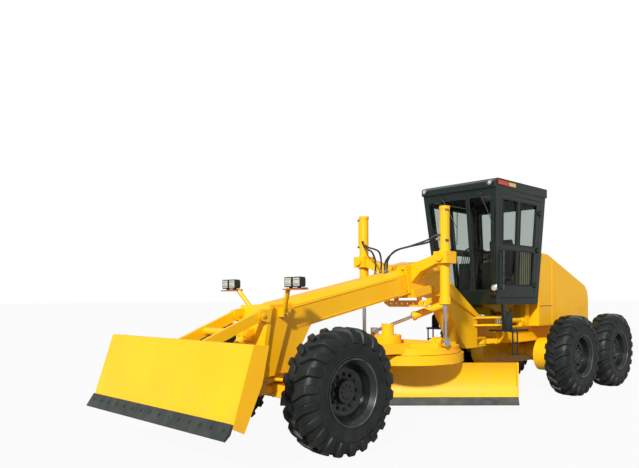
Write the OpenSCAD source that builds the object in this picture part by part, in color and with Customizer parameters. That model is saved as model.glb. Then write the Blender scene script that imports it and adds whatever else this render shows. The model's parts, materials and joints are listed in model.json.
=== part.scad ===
// Motor grader with a front dozer blade, hinged frame and tandem drive, in millimetres.
// +X is forward, +Y is the left side, +Z is up. The origin is on the ground under the middle of its length.

/* [Layout] */
// Front axle ahead of the origin
front_axle_x = 3014; // [2900:1:3100]
// Front axle to the middle of the tandem
wheelbase = 6200; // [6100:10:6300]
// Distance between the two tandem axles
tandem_gap = 1540; // [1500:10:1600]
// Distance between left and right wheel centres
track = 2152; // [2130:2:2180]
// Frame hinge behind the front axle
hinge_back = 4250; // [4230:5:4270]
// Circle centre behind the front axle
circle_back = 2400; // [2380:5:2420]

/* [Wheels] */
// Tyre diameter over the lugs
tyre_d = 1350; // [1320:2:1360]
// Tyre width
tyre_w = 440; // [420:2:450]
// Rim diameter over its flanges
rim_d = 700; // [690:2:710]
// Wheel hub radius
hub_r = 130; // [120:1:140]
// Axle stub radius
stub_r = 55; // [45:1:65]
// Running clearance of shafts in their bores
run_gap = 0.05; // [0.03:0.01:0.1]
// Clearance between parts that move past each other
move_gap = 6; // [5:1:8]

/* [Front frame] */
// Width of the gooseneck beam
beam_w = 360; // [340:5:380]
// Depth of the gooseneck beam
beam_h = 350; // [330:5:360]
// Slope of the gooseneck beam
beam_slope = 11.4; // [11.2:0.1:11.6]
// Height of the beam's top at its front end
beam_top_z = 1630; // [1620:5:1640]
// Edge chamfer of the beam's top
beam_chamfer = 70; // [50:5:80]
// Width of the hinge leg
leg_w = 300; // [280:5:310]
// Width of the nose box
nose_w = 540; // [520:5:560]
// Thickness of hinge plates
hinge_plate = 30; // [25:1:32]
// Radius of the hinge pins
hinge_pin_r = 45; // [40:1:50]
// Radius of the hinge eyes
hinge_eye_r = 120; // [110:1:125]

/* [Front axle] */
// Kingpin distance from the middle
kingpin_y = 860; // [855:1:865]
// Lean pin distance from the middle
lean_y = 740; // [735:1:745]
// Lean pin height
lean_z = 500; // [490:5:510]
// Steering arm length behind the kingpin
steer_arm = 190; // [180:1:195]

/* [Lift cylinders] */
// Lift cylinder distance from the middle
lift_y = 750; // [740:5:760]
// Lift cylinder barrel radius
lift_barrel_r = 68; // [60:1:75]
// Height of the lift barrel's lower end
lift_barrel_z0 = 1560; // [1540:5:1600]
// Height of the lift barrel's upper end
lift_barrel_z1 = 2880; // [2850:5:2900]
// Height of the yoke around each lift barrel
yoke_z = 2190; // [2170:5:2210]
// Lift rod radius
lift_rod_r = 28; // [25:1:32]
// Height of the lift rod's lower eye
lift_eye_z = 1050; // [1040:5:1060]

/* [Circle and mouldboard] */
// Outer radius of the circle
circle_r = 800; // [780:5:810]
// Lowest face of the circle ring
circle_z = 752; // [750:1:760]
// Height of the circle ring
circle_h = 128; // [120:1:135]
// Angle of the mouldboard from straight across
blade_angle = 42; // [40:1:44]
// Length of the mouldboard
blade_len = 3340; // [3300:10:3360]
// Middle of the mouldboard to the right of the circle's centre
blade_shift = 130; // [125:5:150]
// Mouldboard ahead of the circle's centre
blade_ahead = 238; // [230:2:250]
// Top of the mouldboard
blade_top = 735; // [725:1:738]
// Height of the mouldboard without its edge
blade_h = 480; // [470:5:490]
// Radius of the mouldboard's curve
blade_curve_r = 430; // [420:5:450]
// Thickness of the mouldboard plate
blade_t = 22; // [18:1:26]
// Hitch pin of the drawbar behind the front axle
hitch_back = 300; // [298:1:310]
// Height of the hitch pin
hitch_z = 1000; // [990:5:1010]
// Radius of the hitch pin
hitch_pin_r = 35; // [30:1:38]

/* [Dozer] */
// Width of the dozer blade
dozer_w = 2700; // [2680:5:2720]
// Top of the dozer blade
dozer_top = 1243; // [1235:1:1250]
// Lowest point of the dozer's cutting edge
dozer_low = 452; // [445:1:460]
// Thickness of the dozer's plate
dozer_t = 25; // [20:1:30]

/* [Rear frame] */
// Lower face of the frame rails
rail_z0 = 900; // [890:5:910]
// Upper face of the frame rails
rail_z1 = 1180; // [1175:1:1185]
// Middle of each rail from the centre
rail_y = 350; // [345:1:355]
// Width of each rail
rail_w = 120; // [110:2:125]
// Radius of the tandem case's ends
tandem_r = 280; // [270:2:285]
// Inner face of the tandem case
tandem_y0 = 500; // [495:1:505]
// Outer face of the tandem case
tandem_y1 = 760; // [755:1:765]

/* [Hood] */
// Half width of the hood
hood_hw = 550; // [545:1:560]
// Thickness of the hood's panels
hood_t = 25; // [20:1:30]
// Top of the hood behind the cab
hood_top = 2420; // [2400:5:2430]

/* [Cab] */
// Half width of the cab under the roof
cab_top_hw = 695; // [690:1:700]
// Half width of the cab at its floor
cab_low_hw = 567; // [565:1:572]
// Height of the cab's lower edge
cab_z0 = 1540; // [1535:1:1545]
// Height of the cab under the roof
cab_z1 = 3330; // [3320:5:3335]
// Wall thickness of the cab
cab_t = 60; // [55:1:65]
// Thickness of the cab's roof at its middle
roof_h = 143; // [135:1:150]
// Length of the cab's roof
roof_len = 1630; // [1620:5:1640]
// Half width of the cab's roof
roof_hw = 715; // [710:1:725]
// Thickness of the glass
glass_t = 8; // [6:1:10]

/* [Hidden] */
$fn = 48;
seat_gap = 0.3;
wheel_y = track / 2;
axle_z = tyre_d / 2;
fx = front_axle_x;
tandem_x = fx - wheelbase;
mid_x = tandem_x + tandem_gap / 2;
rear_x = tandem_x - tandem_gap / 2;
hinge_x = fx - hinge_back;
circle_x = fx - circle_back;
hitch_x = fx - hitch_back;
hitch_eye_r = 72;
hitch_eye_w = 88;
roof_top = cab_z1 + roof_h;
tie_rod_z = lean_z;
paint = [0.98, 0.74, 0.05];
dark = [0.10, 0.12, 0.12];
steel = [0.75, 0.75, 0.76];

// A plate cut to an outline of [x, z] points, w wide from y0 towards +Y
module side_plate(points, y0, w)
    translate([0, y0 + w, 0]) rotate([90, 0, 0]) linear_extrude(w) polygon(points);

// A plate cut to an outline of [y, z] points, w long from x0 towards +X
module cross_plate(points, x0, w)
    translate([x0, 0, 0]) rotate([90, 0, 90]) linear_extrude(w) polygon(points);

// A plate cut to an outline of [x, y] points, h thick from z0 upwards
module flat_plate(points, z0, h)
    translate([0, 0, z0]) linear_extrude(h) polygon(points);

// A box from one corner to the opposite one
module block(a, b) translate(a) cube(b - a);

// A round bar along each axis, centred in its length on p
module bar_x(p, r, w) translate([p[0] - w / 2, p[1], p[2]]) rotate([0, 90, 0]) cylinder(h = w, r = r);
module bar_y(p, r, w) translate([p[0], p[1] - w / 2, p[2]]) rotate([-90, 0, 0]) cylinder(h = w, r = r);
module bar_z(p, r, w) translate([p[0], p[1], p[2] - w / 2]) cylinder(h = w, r = r);

// A round bar from p to q
module bar(p, q, r) {
    d = q - p;
    flat = norm([d[0], d[1]]);
    translate(p) rotate([0, atan2(flat, d[2]), atan2(d[1], d[0])]) cylinder(h = norm(d), r = r);
}

// The children and their mirror image on the other side of the machine
module both_sides() {
    children();
    mirror([0, 1, 0]) children();
}

// The children mirrored to the given side, 1 for the left and -1 for the right
module on_side(side) {
    if (side > 0) children();
    else mirror([0, 1, 0]) children();
}

// Front frame: nose box, gooseneck beam and hinge leg
beam_front = [fx + 100, beam_top_z - 34];
beam_len = 2950;
upper_fork_z = 1195;
lower_fork_z = 855;
eye_h = 80;
fork_h = eye_h + 2 * move_gap + 2 * hinge_plate;
artic_y = 360;
artic_pin_r = 26;
nose_side_y = nose_w / 2 - 40;

module gooseneck_beam() {
    hw = beam_w / 2;
    translate([beam_front[0], 0, beam_front[1]]) rotate([0, beam_slope, 0])
        mirror([1, 0, 0]) rotate([90, 0, 90]) linear_extrude(beam_len)
            polygon([[-hw, -beam_h], [hw, -beam_h], [hw, -beam_chamfer], [hw - beam_chamfer, 0],
                [beam_chamfer - hw, 0], [-hw, -beam_chamfer]]);
}

// One hinge fork of two plates with the pin between them
module hinge_fork(z0, ear_y) {
    for (z = [z0, z0 + fork_h - hinge_plate]) {
        flat_plate([[hinge_x + 520, -leg_w / 2], [hinge_x + 520, leg_w / 2], [hinge_x + 60, hinge_eye_r],
            [hinge_x, hinge_eye_r], [hinge_x, -hinge_eye_r], [hinge_x + 60, -hinge_eye_r]],
            z, hinge_plate);
        bar_z([hinge_x, 0, z + hinge_plate / 2], hinge_eye_r, hinge_plate);
        if (ear_y > 0) both_sides() {
            flat_plate([[hinge_x + 400, leg_w / 2 - 20], [hinge_x + 60, ear_y + 60],
                [hinge_x, ear_y + 70], [hinge_x, ear_y - 70], [hinge_x + 120, leg_w / 2 - 40]],
                z, hinge_plate);
            bar_z([hinge_x, ear_y, z + hinge_plate / 2], 70, hinge_plate);
        }
    }
    // Heads of the articulation cylinder's pin, which turns with the rod's eye
    if (ear_y > 0) both_sides() for (z = [z0 - 4, z0 + fork_h + 4])
        bar_z([hinge_x, ear_y, z], artic_pin_r, 10);
    bar_z([hinge_x, 0, z0 + fork_h / 2], hinge_pin_r, fork_h + 20);
}

module front_frame() color(paint) {
    gooseneck_beam();
    // Hinge leg
    side_plate([[fx - 2500, 2080], [fx - 2790, 2110], [fx - 3220, 1880], [fx - 3980, 1370],
        [fx - 3980, 850], [fx - 3680, 850], [fx - 3560, 960], [fx - 3060, 1640], [fx - 2500, 1760]],
        -leg_w / 2, leg_w);
    both_sides() side_plate([[fx - 3220, 1880], [fx - 3980, 1370], [fx - 3980, 1310],
        [fx - 3100, 1700]], leg_w / 2 - 20, 60);
    hinge_fork(upper_fork_z, artic_y);
    hinge_fork(lower_fork_z, 0);
    // Nose box with its sloping front plate
    side_plate([[fx + 280, 1570], [fx + 430, 760], [fx + 150, 800], [fx - 140, 800],
        [fx - 230, 1080], [fx - 420, 1380], [fx - 420, 1500], [fx - 70, 1590]],
        2 - beam_w / 2, beam_w - 4);
    side_plate([[fx + 290, 1575], [fx + 440, 745], [fx + 390, 745], [fx + 235, 1570]],
        -nose_w / 2, nose_w);
    both_sides() {
        side_plate([[fx + 262, 1560], [fx + 400, 770], [fx + 200, 790], [fx + 60, 1200],
            [fx - 60, 1560]], nose_side_y - 30, 30);
        // Lugs of the dozer's arms
        arm_lugs(arm_low, [arm_low + [0, 60], [fx + 370, 960], [fx + 390, 780], arm_low + [0, -60]]);
        arm_lugs(arm_high, [arm_high + [0, 60], [fx + 262, 1540], [fx + 300, 1380], arm_high + [0, -60]]);
    }
    ram_lugs();
    shift_stud();
    // Axle pivot housing
    bar_x([fx, 0, pivot_z], pivot_r, 240);
    // Lugs and pin of the drawbar's hitch
    lug_y = hitch_eye_w / 2 + move_gap;
    both_sides() {
        side_plate([[fx - 150, 880], [hitch_x, hitch_z - 68], [hitch_x, hitch_z + 68],
            [fx - 150, 1130]], lug_y, 30);
        bar_y([hitch_x, lug_y + 15, hitch_z], 68, 30);
    }
    bar_y([hitch_x, 0, hitch_z], hitch_pin_r, 2 * lug_y + 80);
}

// Front axle, fixed on its pivot, with a fork for each lean bracket
axle_hw = 668;
axle_side_w = 150;
lean_pin_r = 28;
kingpin_r = 25;
link_pin_r = 15;
steer_arm_z = 590;
steer_arm_y = kingpin_y - 60;
link_x = fx + 115;
link_z = 740;
pivot_z = 780;
pivot_r = 110;
module front_axle() color(paint) {
    side_w = axle_side_w;
    top = pivot_z - pivot_r - seat_gap;
    cross_plate([[-axle_hw, 430], [-axle_hw, 570], [-430, 640], [-160, top], [160, top],
        [430, 640], [axle_hw, 570], [axle_hw, 430], [430, 450], [200, 520], [-200, 520],
        [-430, 450]], fx - side_w / 2, side_w);
    bar_x([fx, 0, 600], 62, 300);
    both_sides() {
        for (x = [-side_w / 2, side_w / 2 - 30]) {
            cross_plate([[axle_hw - 20, 430], [lean_y, 430], [lean_y, 570], [axle_hw - 20, 570]],
                fx + x, 30);
            bar_x([fx + x + 15, lean_y, lean_z], 70, 30);
        }
        bar_x([fx, lean_y, lean_z], lean_pin_r, side_w + 16);
    }
    // Steering cylinder barrel behind the axle
    difference() {
        union() {
            bar_y([fx - steer_arm, 0, tie_rod_z], 48, 420);
            both_sides() block([fx - steer_arm, 120, tie_rod_z - 20], [fx - 60, 150, tie_rod_z + 60]);
        }
        bar_y([fx - steer_arm, 0, tie_rod_z], tie_rod_r + run_gap, 440);
    }
}

// Lean bracket of one front wheel: lower boss, link lug and the kingpin's fork
module lean_bracket(side) on_side(side) color(paint) {
    difference() {
        union() {
            block([fx - 37, lean_y, lean_z - 10], [fx + 37, lean_y + 50, 830]);
            bar_x([fx, lean_y, lean_z], 62, 78);
            block([fx - 50, lean_y + 20, 800], [fx + 50, kingpin_y, 830]);
            block([fx - 37, lean_y + 20, 520], [fx + 37, kingpin_y, 550]);
            for (z = [815, 535]) bar_z([fx, kingpin_y, z], 50, 30);
            block([fx + 30, lean_y - 15, link_z - 25], [link_x + 15, lean_y + 30, link_z + 25]);
            bar_x([link_x, lean_y, link_z], 40, 30);
        }
        bar_x([fx, lean_y, lean_z], lean_pin_r + run_gap, 200);
        // Room for the steering arm at full lock
        block([fx - 60, lean_y - 5, steer_arm_z - 8], [fx - 2, lean_y + 65, steer_arm_z + 32]);
    }
    bar_z([fx, kingpin_y, 675], kingpin_r, 320);
}

// Lean bar in front of the axle with an eye and its pin's head at each end
module lean_bar() color(paint) {
    bar_x0 = link_x + 15 + seat_gap;
    bar_y([bar_x0 + 20, 0, link_z], 20, 2 * lean_y);
    both_sides() {
        bar_x([bar_x0 + 20, lean_y, link_z], 40, 40);
        bar_x([bar_x0 + 42, lean_y, link_z], link_pin_r, 10);
    }
}

// Steering knuckle of one front wheel, with its spindle and a steering arm that ends in a ball
tie_ball_r = 26;
module knuckle(side) on_side(side) color(paint) {
    difference() {
        union() {
            bar_z([fx, kingpin_y, 675], 50, 250 - 2 * move_gap);
            bar_y([fx, kingpin_y + 125, axle_z], stub_r, 270);
            flat_plate(side_bar([fx, kingpin_y], [fx - steer_arm, steer_arm_y], 50), steer_arm_z, 24);
            bar_z([fx - steer_arm, steer_arm_y, steer_arm_z + 12], tie_ball_r, 24);
        }
        bar_z([fx, kingpin_y, 675], kingpin_r + run_gap, 600);
    }
    bar_z([fx - steer_arm, steer_arm_y, (steer_arm_z + tie_rod_z) / 2], 17, steer_arm_z - tie_rod_z + 10);
    translate([fx - steer_arm, steer_arm_y, tie_rod_z]) sphere(r = tie_ball_r);
}

// Tie rod through the steering cylinder, with a socket's collar that faces each arm's ball
tie_rod_r = 22;
tie_rod_hw = steer_arm_y - tie_ball_r - 14;
module tie_rod() color(steel) {
    bar_y([fx - steer_arm, 0, tie_rod_z], tie_rod_r, 2 * tie_rod_hw);
    both_sides() bar_y([fx - steer_arm, tie_rod_hw - 30, tie_rod_z], 30, 60);
}

// Wheel made about the wheel's centre, outer side towards +Y
rim_inner_r = rim_d / 2 - 48;
module rim_shape(bore_depth) difference() {
    rotate([-90, 0, 0]) rotate_extrude()
        polygon([[0, -70], [hub_r, -70], [hub_r, 20], [rim_inner_r - 60, 50],
            [rim_inner_r - 10, 30], [rim_inner_r - 10, -150], [rim_d / 2, -tyre_w / 2 + 12],
            [rim_d / 2, -tyre_w / 2 + 32], [rim_inner_r + 14, -140], [rim_inner_r + 14, 140],
            [rim_d / 2, tyre_w / 2 - 32], [rim_d / 2, tyre_w / 2 - 12],
            [rim_inner_r - 4, 150], [rim_inner_r - 10, 66], [rim_inner_r - 60, 80], [hub_r, 45],
            [hub_r - 15, 95], [0, 95]]);
    translate([0, bore_depth - 1000, 0]) rotate([-90, 0, 0]) cylinder(h = 1000, r = stub_r + run_gap);
}

module tyre_shape() {
    r = tyre_d / 2;
    w = tyre_w / 2;
    bead_r = rim_d / 2 + seat_gap;
    bed_r = rim_inner_r + 14 + seat_gap;
    rotate([-90, 0, 0]) rotate_extrude()
        polygon([[bead_r, 20 - w], [r - 190, -w], [r - 90, -w + 8], [r - 18, -w + 50],
            [r, -w + 90], [r, w - 90], [r - 18, w - 50], [r - 90, w - 8], [r - 190, w],
            [bead_r, w - 20], [bead_r, w - 32.4], [bed_r, 139.6], [bed_r, -139.6], [bead_r, 32.4 - w]]);
}

// Place of a wheel by its axle and side
module at_wheel(x, side) translate([x, side * wheel_y, axle_z]) on_side(side) children();
module rim(x, side) color(dark) at_wheel(x, side) rim_shape(50);
module tyre(x, side) color([0.06, 0.07, 0.07]) at_wheel(x, side) tyre_shape();

// Lift saddle: collar on the beam, arms out to the yokes, hub tubes and lock plate
saddle_x = fx - 2290;
module lift_yoke() {
    r = lift_barrel_r + seat_gap;
    difference() {
        union() {
            block([saddle_x - 110, lift_y - 110, yoke_z - 80], [saddle_x + 110, lift_y + 110, yoke_z + 80]);
            bar_x([saddle_x, lift_y, yoke_z], 52, 290);
        }
        bar_z([saddle_x, lift_y, yoke_z], r, 200);
    }
}
module lift_saddle() color(paint) {
    collar_hw = beam_w / 2 + 45;
    gap = seat_gap;
    difference() {
        translate([fx - 2250, 0, 1990]) rotate([0, beam_slope, 0]) union() {
            block([-330, -collar_hw, -260], [120, collar_hw, 130]);
            block([-300, -collar_hw - 60, -330], [90, collar_hw + 60, -215]);
        }
        translate([beam_front[0], 0, beam_front[1]]) rotate([0, beam_slope, 0])
            translate([-beam_len - 100, -beam_w / 2 - gap, -beam_h - gap])
                cube([beam_len + 200, beam_w + 2 * gap, beam_h + 2 * gap]);
        side_plate([[fx - 2480, 2300], [fx - 2480, 1500], [fx - 3400, 1500], [fx - 3400, 2300]],
            -leg_w / 2 - gap, leg_w + 2 * gap);
    }
    both_sides() {
        lift_yoke();
        difference() {
            cross_plate([[collar_hw - 30, 1840], [collar_hw - 30, 2110], [lift_y - 60, yoke_z + 62],
                [lift_y - 60, yoke_z - 62], [collar_hw + 160, 2010]], saddle_x - 70, 140);
            bar_z([saddle_x, lift_y, yoke_z], lift_barrel_r + seat_gap, 300);
        }
        translate([fx - 2330, 312, 1985]) rotate([0, -90 + beam_slope, 5]) cylinder(h = 520, r = 62);
    }
    // Lock plate with its row of holes under the beam
    difference() {
        cross_plate([[-430, 1575], [-330, 1520], [330, 1520], [430, 1575], [430, 1650], [330, 1615],
            [-330, 1615], [-430, 1650]], fx - 2420, 40);
        for (i = [-3:3]) bar_x([fx - 2400, i * 105, 1567], 22, 60);
    }
    both_sides() side_plate([[fx - 2440, 1590], [fx - 2380, 1590], [fx - 2330, 1780],
        [fx - 2480, 1780]], beam_w / 2 + 20, 30);
}

// Both lift cylinder barrels in their yokes
module lift_barrels() color(paint) both_sides() {
    translate([saddle_x, lift_y, lift_barrel_z0]) difference() {
        union() {
            cylinder(h = lift_barrel_z1 - lift_barrel_z0, r = lift_barrel_r);
            cylinder(h = 90, r = lift_barrel_r + 12);
            translate([0, 0, lift_barrel_z1 - lift_barrel_z0 - 40]) cylinder(h = 40, r = lift_barrel_r + 6);
            for (z = [530, 712]) translate([0, 0, z]) cylinder(h = 14, r = lift_barrel_r + 12);
        }
        translate([0, 0, -1]) cylinder(h = 1240, r = lift_rod_r + run_gap);
    }
    // Supply pipe along the barrel
    bar_z([saddle_x + 40, lift_y + lift_barrel_r - 4, 2620], 14, 400);
}

// Both lift rods with their lower eyes and pins beside the drawbar's bosses
lift_eye_x = saddle_x;
lift_pin_r = 34;
module lift_rods() color(steel) both_sides() {
    bar_z([saddle_x, lift_y, 1670], lift_rod_r, 1160);
    bar_y([lift_eye_x, lift_y, lift_eye_z], 62, 70);
    bar_y([lift_eye_x, lift_y + 20, lift_eye_z], lift_pin_r, 50);
}

// Work lamps on leaning posts beside the nose
module work_lamp() {
    bar([fx + 100, 285, 1500], [fx + 190, 460, 1760], 26);
    block([fx + 140, 440, 1745], [fx + 250, 740, 1763]);
    for (y = [520, 660]) difference() {
        block([fx + 150, y - 66, 1763], [fx + 240, y + 66, 1880]);
        block([fx + 225, y - 54, 1777], [fx + 300, y + 54, 1868]);
    }
    block([fx + 60, nose_side_y + seat_gap, 1440], [fx + 140, nose_side_y + 75, 1540]);
}
module work_lamps() color(dark) both_sides() work_lamp();

// Hydraulic hoses looping from the beam's top to the lift cylinders
function unit(v) = v / norm(v);
function spline(a, b, c, d, t) = (2 * b + (c - a) * t + (2 * a - 5 * b + 4 * c - d) * t * t
    + (3 * b - a - 3 * c + d) * t * t * t) / 2;
function smooth(p, steps) = let (last = len(p) - 1) [
    for (i = [0:last - 1]) for (k = [0:steps - 1])
        spline(p[max(i - 1, 0)], p[i], p[i + 1], p[min(i + 2, last)], k / steps), p[last]];
module hose(points, r, side_dir, sides = 8) {
    p = smooth(points, 3);
    last = len(p) - 1;
    rings = [for (i = [0:last]) let (
        t = unit(p[min(i + 1, last)] - p[max(i - 1, 0)]),
        u = unit(cross(t, side_dir)),
        v = cross(t, u))
        for (k = [0:sides - 1]) p[i] + r * (cos(360 * k / sides) * u + sin(360 * k / sides) * v)];
    polyhedron(rings, concat(
        [[for (k = [0:sides - 1]) sides - 1 - k]],
        [[for (k = [0:sides - 1]) last * sides + k]],
        [for (i = [0:last - 1]) for (k = [0:sides - 1]) for (face = [
            [i * sides + k, i * sides + (k + 1) % sides, (i + 1) * sides + k],
            [i * sides + (k + 1) % sides, (i + 1) * sides + (k + 1) % sides, (i + 1) * sides + k]]) face]));
}
hose_r = 13;
hose_paths = [
    [[fx - 1900, 60, 2003], [fx - 1910, 60, 2160], [fx - 1960, 140, 2290], [fx - 2060, 320, 2350],
        [fx - 2160, 520, 2390], [fx - 2217, 656, 2436], [fx - 2246, 694, 2440]],
    [[fx - 1820, 90, 1986.2], [fx - 1830, 95, 2150], [fx - 1900, 220, 2290], [fx - 2000, 400, 2350],
        [fx - 2110, 580, 2420], [fx - 2184, 687, 2486], [fx - 2228, 713, 2490]]
];
module hoses() color(dark) both_sides() for (path = hose_paths) hose(path, hose_r, [1, 0, 0]);

// Articulation cylinders: barrels on the rear frame, rods to the front frame's ears
artic_z = upper_fork_z + fork_h / 2;
artic_mouth_x = hinge_x - 215;
artic_tail_x = hinge_x - 730;
module artic_barrels() color(paint) both_sides() {
    difference() {
        union() {
            bar_x([(artic_mouth_x + artic_tail_x) / 2, artic_y, artic_z], 39, artic_mouth_x - artic_tail_x);
            bar_z([artic_tail_x - 30, artic_y, artic_z], 52, 70);
        }
        bar_x([artic_mouth_x - 240, artic_y, artic_z], 20 + run_gap, 482);
        bar_z([artic_tail_x - 30, artic_y, artic_z], 24 + run_gap, 90);
    }
}
module artic_rod(side) on_side(side) color(steel) {
    bar_x([(hinge_x - 50 + hinge_x - 480) / 2, artic_y, artic_z], 20, 430);
    bar_z([hinge_x, artic_y, artic_z], 52, eye_h);
}

// Rear frame's places, and the tongues of the frame's hinge
rail_x0 = hinge_x - 340;
hanger_x = tandem_x;
rail_x1 = rear_x - 420;
hanger_z = 806;
cab_base_y = 300;
cab_base_z = 1370;
module hinge_tongue(z0) difference() {
    union() {
        flat_plate([[hinge_x - 250, -190], [hinge_x - 60, -hinge_eye_r + 5], [hinge_x, -hinge_eye_r + 5],
            [hinge_x, hinge_eye_r - 5], [hinge_x - 60, hinge_eye_r - 5], [hinge_x - 250, 190]], z0, eye_h);
        bar_z([hinge_x, 0, z0 + eye_h / 2], hinge_eye_r - 5, eye_h);
    }
    bar_z([hinge_x, 0, z0 + eye_h / 2], hinge_pin_r + run_gap, eye_h + 20);
}
// Rear frame: crosshead, cross members between the rails, rear beam and hitch
module rear_frame() color(paint) {
    tongue_lift = hinge_plate + move_gap;
    member_hw = rail_y - rail_w / 2 - seat_gap;
    hinge_tongue(upper_fork_z + tongue_lift);
    hinge_tongue(lower_fork_z + tongue_lift);
    block([hinge_x - 330, -200, 880], [hinge_x - 230, 200, upper_fork_z + tongue_lift + eye_h]);
    block([rail_x0 + seat_gap, -rail_y, rail_z0], [hinge_x - 290, rail_y, rail_z1]);
    both_sides() block([hinge_x - 310, rail_y - 100, rail_z1 - 60],
        [hinge_x - 240, cab_base_y, cab_base_z - seat_gap]);
    for (x = [fx - 5300, hanger_x + 300, hanger_x - 300])
        block([x - 40, -member_hw, rail_z0 + 20], [x + 40, member_hw, rail_z1 - 40]);
    // Rear beam and tow hitch
    block([rail_x1 - 60, -520, rail_z0 - 60], [rail_x1, 520, rail_z1]);
    difference() {
        block([rail_x1 - 255, -70, 960], [rail_x1 - 55, 70, 1100]);
        block([rail_x1 - 265, -80, 1000], [rail_x1 - 110, 80, 1060]);
        bar_z([rail_x1 - 190, 0, 1030], 20, 200);
    }
}

// One channel rail, its flanges outwards, with its lug, cab mount and axle hanger
module rail(side) on_side(side) color(paint) {
    x1 = rail_x1 + seat_gap;
    block([x1, rail_y - rail_w / 2, rail_z0], [rail_x0, rail_y - rail_w / 2 + 30, rail_z1]);
    for (z = [rail_z0, rail_z1 - 25])
        block([x1, rail_y - rail_w / 2, z], [rail_x0, rail_y + rail_w / 2, z + 25]);
    // Lug of the articulation cylinder with its pin
    block([artic_tail_x - 90, artic_y - 60, rail_z1 - 5],
        [artic_tail_x + 60, artic_y + 60, artic_z - 40]);
    bar_z([artic_tail_x - 30, artic_y, artic_z - 5], 24, 90);
    block([fx - 5185, rail_y - 60, rail_z1 - 5], [fx - 5075, rail_y + 60, cab_z0 - seat_gap]);
    side_plate([[hanger_x - 190, rail_z0 + 10], [hanger_x + 190, rail_z0 + 10],
        [hanger_x + 130, hanger_z], [hanger_x - 130, hanger_z]], rail_y - 60, 120);
}

// Drive axle: housing, differential and both tandem cases with their stubs
module drive_axle() color(paint) {
    bar_y([tandem_x, 0, axle_z], 130, 2 * tandem_y0 + 20);
    translate([tandem_x, 0, axle_z]) sphere(r = 215, $fn = 48);
    both_sides() {
        block([tandem_x - 130, rail_y - 60, axle_z], [tandem_x + 130, rail_y + 60, hanger_z - seat_gap]);
        for (x = [mid_x, rear_x]) {
            bar_y([x, (tandem_y0 + tandem_y1) / 2, axle_z], tandem_r, tandem_y1 - tandem_y0);
            bar_y([x, (tandem_y1 + wheel_y + 44) / 2 - 5, axle_z], stub_r, wheel_y + 44 - tandem_y1 + 10);
            bar_y([x, tandem_y1 + 60, axle_z], 110, 130);
        }
        block([rear_x, tandem_y0, axle_z - tandem_r], [mid_x, tandem_y1, axle_z + tandem_r]);
    }
}

// Hood of sheet panels, open below: a roof with its front, two sides and a louvred rear
hood_x0 = fx - 5275;
hood_x1 = hood_x0 - 1965;
hood_z0 = 1165;
hood_rear_z = 1640;
hood_inner_hw = hood_hw - hood_t - seat_gap;
hood_side = [[hood_x0, hood_z0], [hood_x0, hood_top], [hood_x0 - 325, hood_top - 20],
    [hood_x1 + 160, 1880], [hood_x1 + 50, 1780], [hood_x1, hood_rear_z], [hood_x1, hood_z0]];
engine_hw = 325;

// Engine as one plain block under the hood
module engine_block() color([0.35, 0.35, 0.36])
    block([hood_x1 + 340, -engine_hw, rail_z1 + seat_gap], [hood_x0 - 475, engine_hw, 1830]);

// Room for the rails in the hood's front and rear panels
module hood_rail_room()
    block([hood_x1 - 60, -rail_y - rail_w / 2 - 1, hood_z0 - 65],
        [hood_x0 + 10, rail_y + rail_w / 2 + 1, rail_z1 + seat_gap]);

// Roof and front panel with the lifting eyes
module hood() color(paint) {
    t = hood_t;
    difference() {
        side_plate(hood_side, -hood_inner_hw, 2 * hood_inner_hw);
        side_plate([[hood_x0 - t, hood_z0 - 65], [hood_x0 - t, hood_top - t],
            [hood_x0 - 320, hood_top - 20 - t], [hood_x1 + 175, 1880 - t], [hood_x1 + 72, 1772],
            [hood_x1 + t, hood_rear_z], [hood_x1 - 20, hood_rear_z], [hood_x1 - 20, hood_z0 - 65]],
            -hood_hw, 2 * hood_hw);
        hood_rail_room();
    }
    both_sides() for (x = [hood_x0 - 205, hood_x0 - 365]) difference() {
        bar_y([x, 330, hood_top - 5], 45, 22);
        bar_y([x, 330, hood_top + 12], 20, 40);
        block([x - 60, 300, hood_top - 100], [x + 60, 360, hood_top - 30]);
    }
}

// Rear panel with louvre slots
module hood_rear() color(paint) difference() {
    block([hood_x1, -hood_inner_hw, hood_z0], [hood_x1 + hood_t, hood_inner_hw, hood_rear_z - seat_gap]);
    hood_rail_room();
    for (i = [0:5]) block([hood_x1 - 20, -380, 1240 + i * 62], [hood_x1 + 60, 380, 1272 + i * 62]);
}

// One side panel with its rims at the seams and its foot on the rail
module hood_side_panel(side) on_side(side) color(paint) {
    side_plate(hood_side, hood_hw - hood_t, hood_t);
    block([hood_x0 - 490, hood_hw - 10, 1180], [hood_x0 - 470, hood_hw + 6, 2290]);
    block([hood_x0 - 485, hood_hw - 10, 1500], [hood_x0 - 20, hood_hw + 6, 1516]);
    block([hood_x1 + 35, engine_hw + 10, rail_z1 + seat_gap], [hood_x0 - 60, rail_y + 50, rail_z1 + 12]);
    for (x = [hood_x0 - 225, hood_x0 - 1025, hood_x0 - 1825])
        block([x, engine_hw + 10, rail_z1 + seat_gap], [x + 20, hood_hw - 5, rail_z1 + 60]);
}

// Cab: walls lean outwards to the roof and forwards at the front
cab_front_low = fx - 3885;
cab_front_top = fx - 3676;
cab_rear_low = fx - 5190;
cab_rear_top = fx - 5240;
function cab_share(z) = (z - cab_z0) / (cab_z1 - cab_z0);
function cab_hw(z) = cab_low_hw + (cab_top_hw - cab_low_hw) * cab_share(z);
function cab_front(z) = cab_front_low + (cab_front_top - cab_front_low) * cab_share(z);
function cab_rear(z) = cab_rear_low + (cab_rear_top - cab_rear_low) * cab_share(z);

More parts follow.
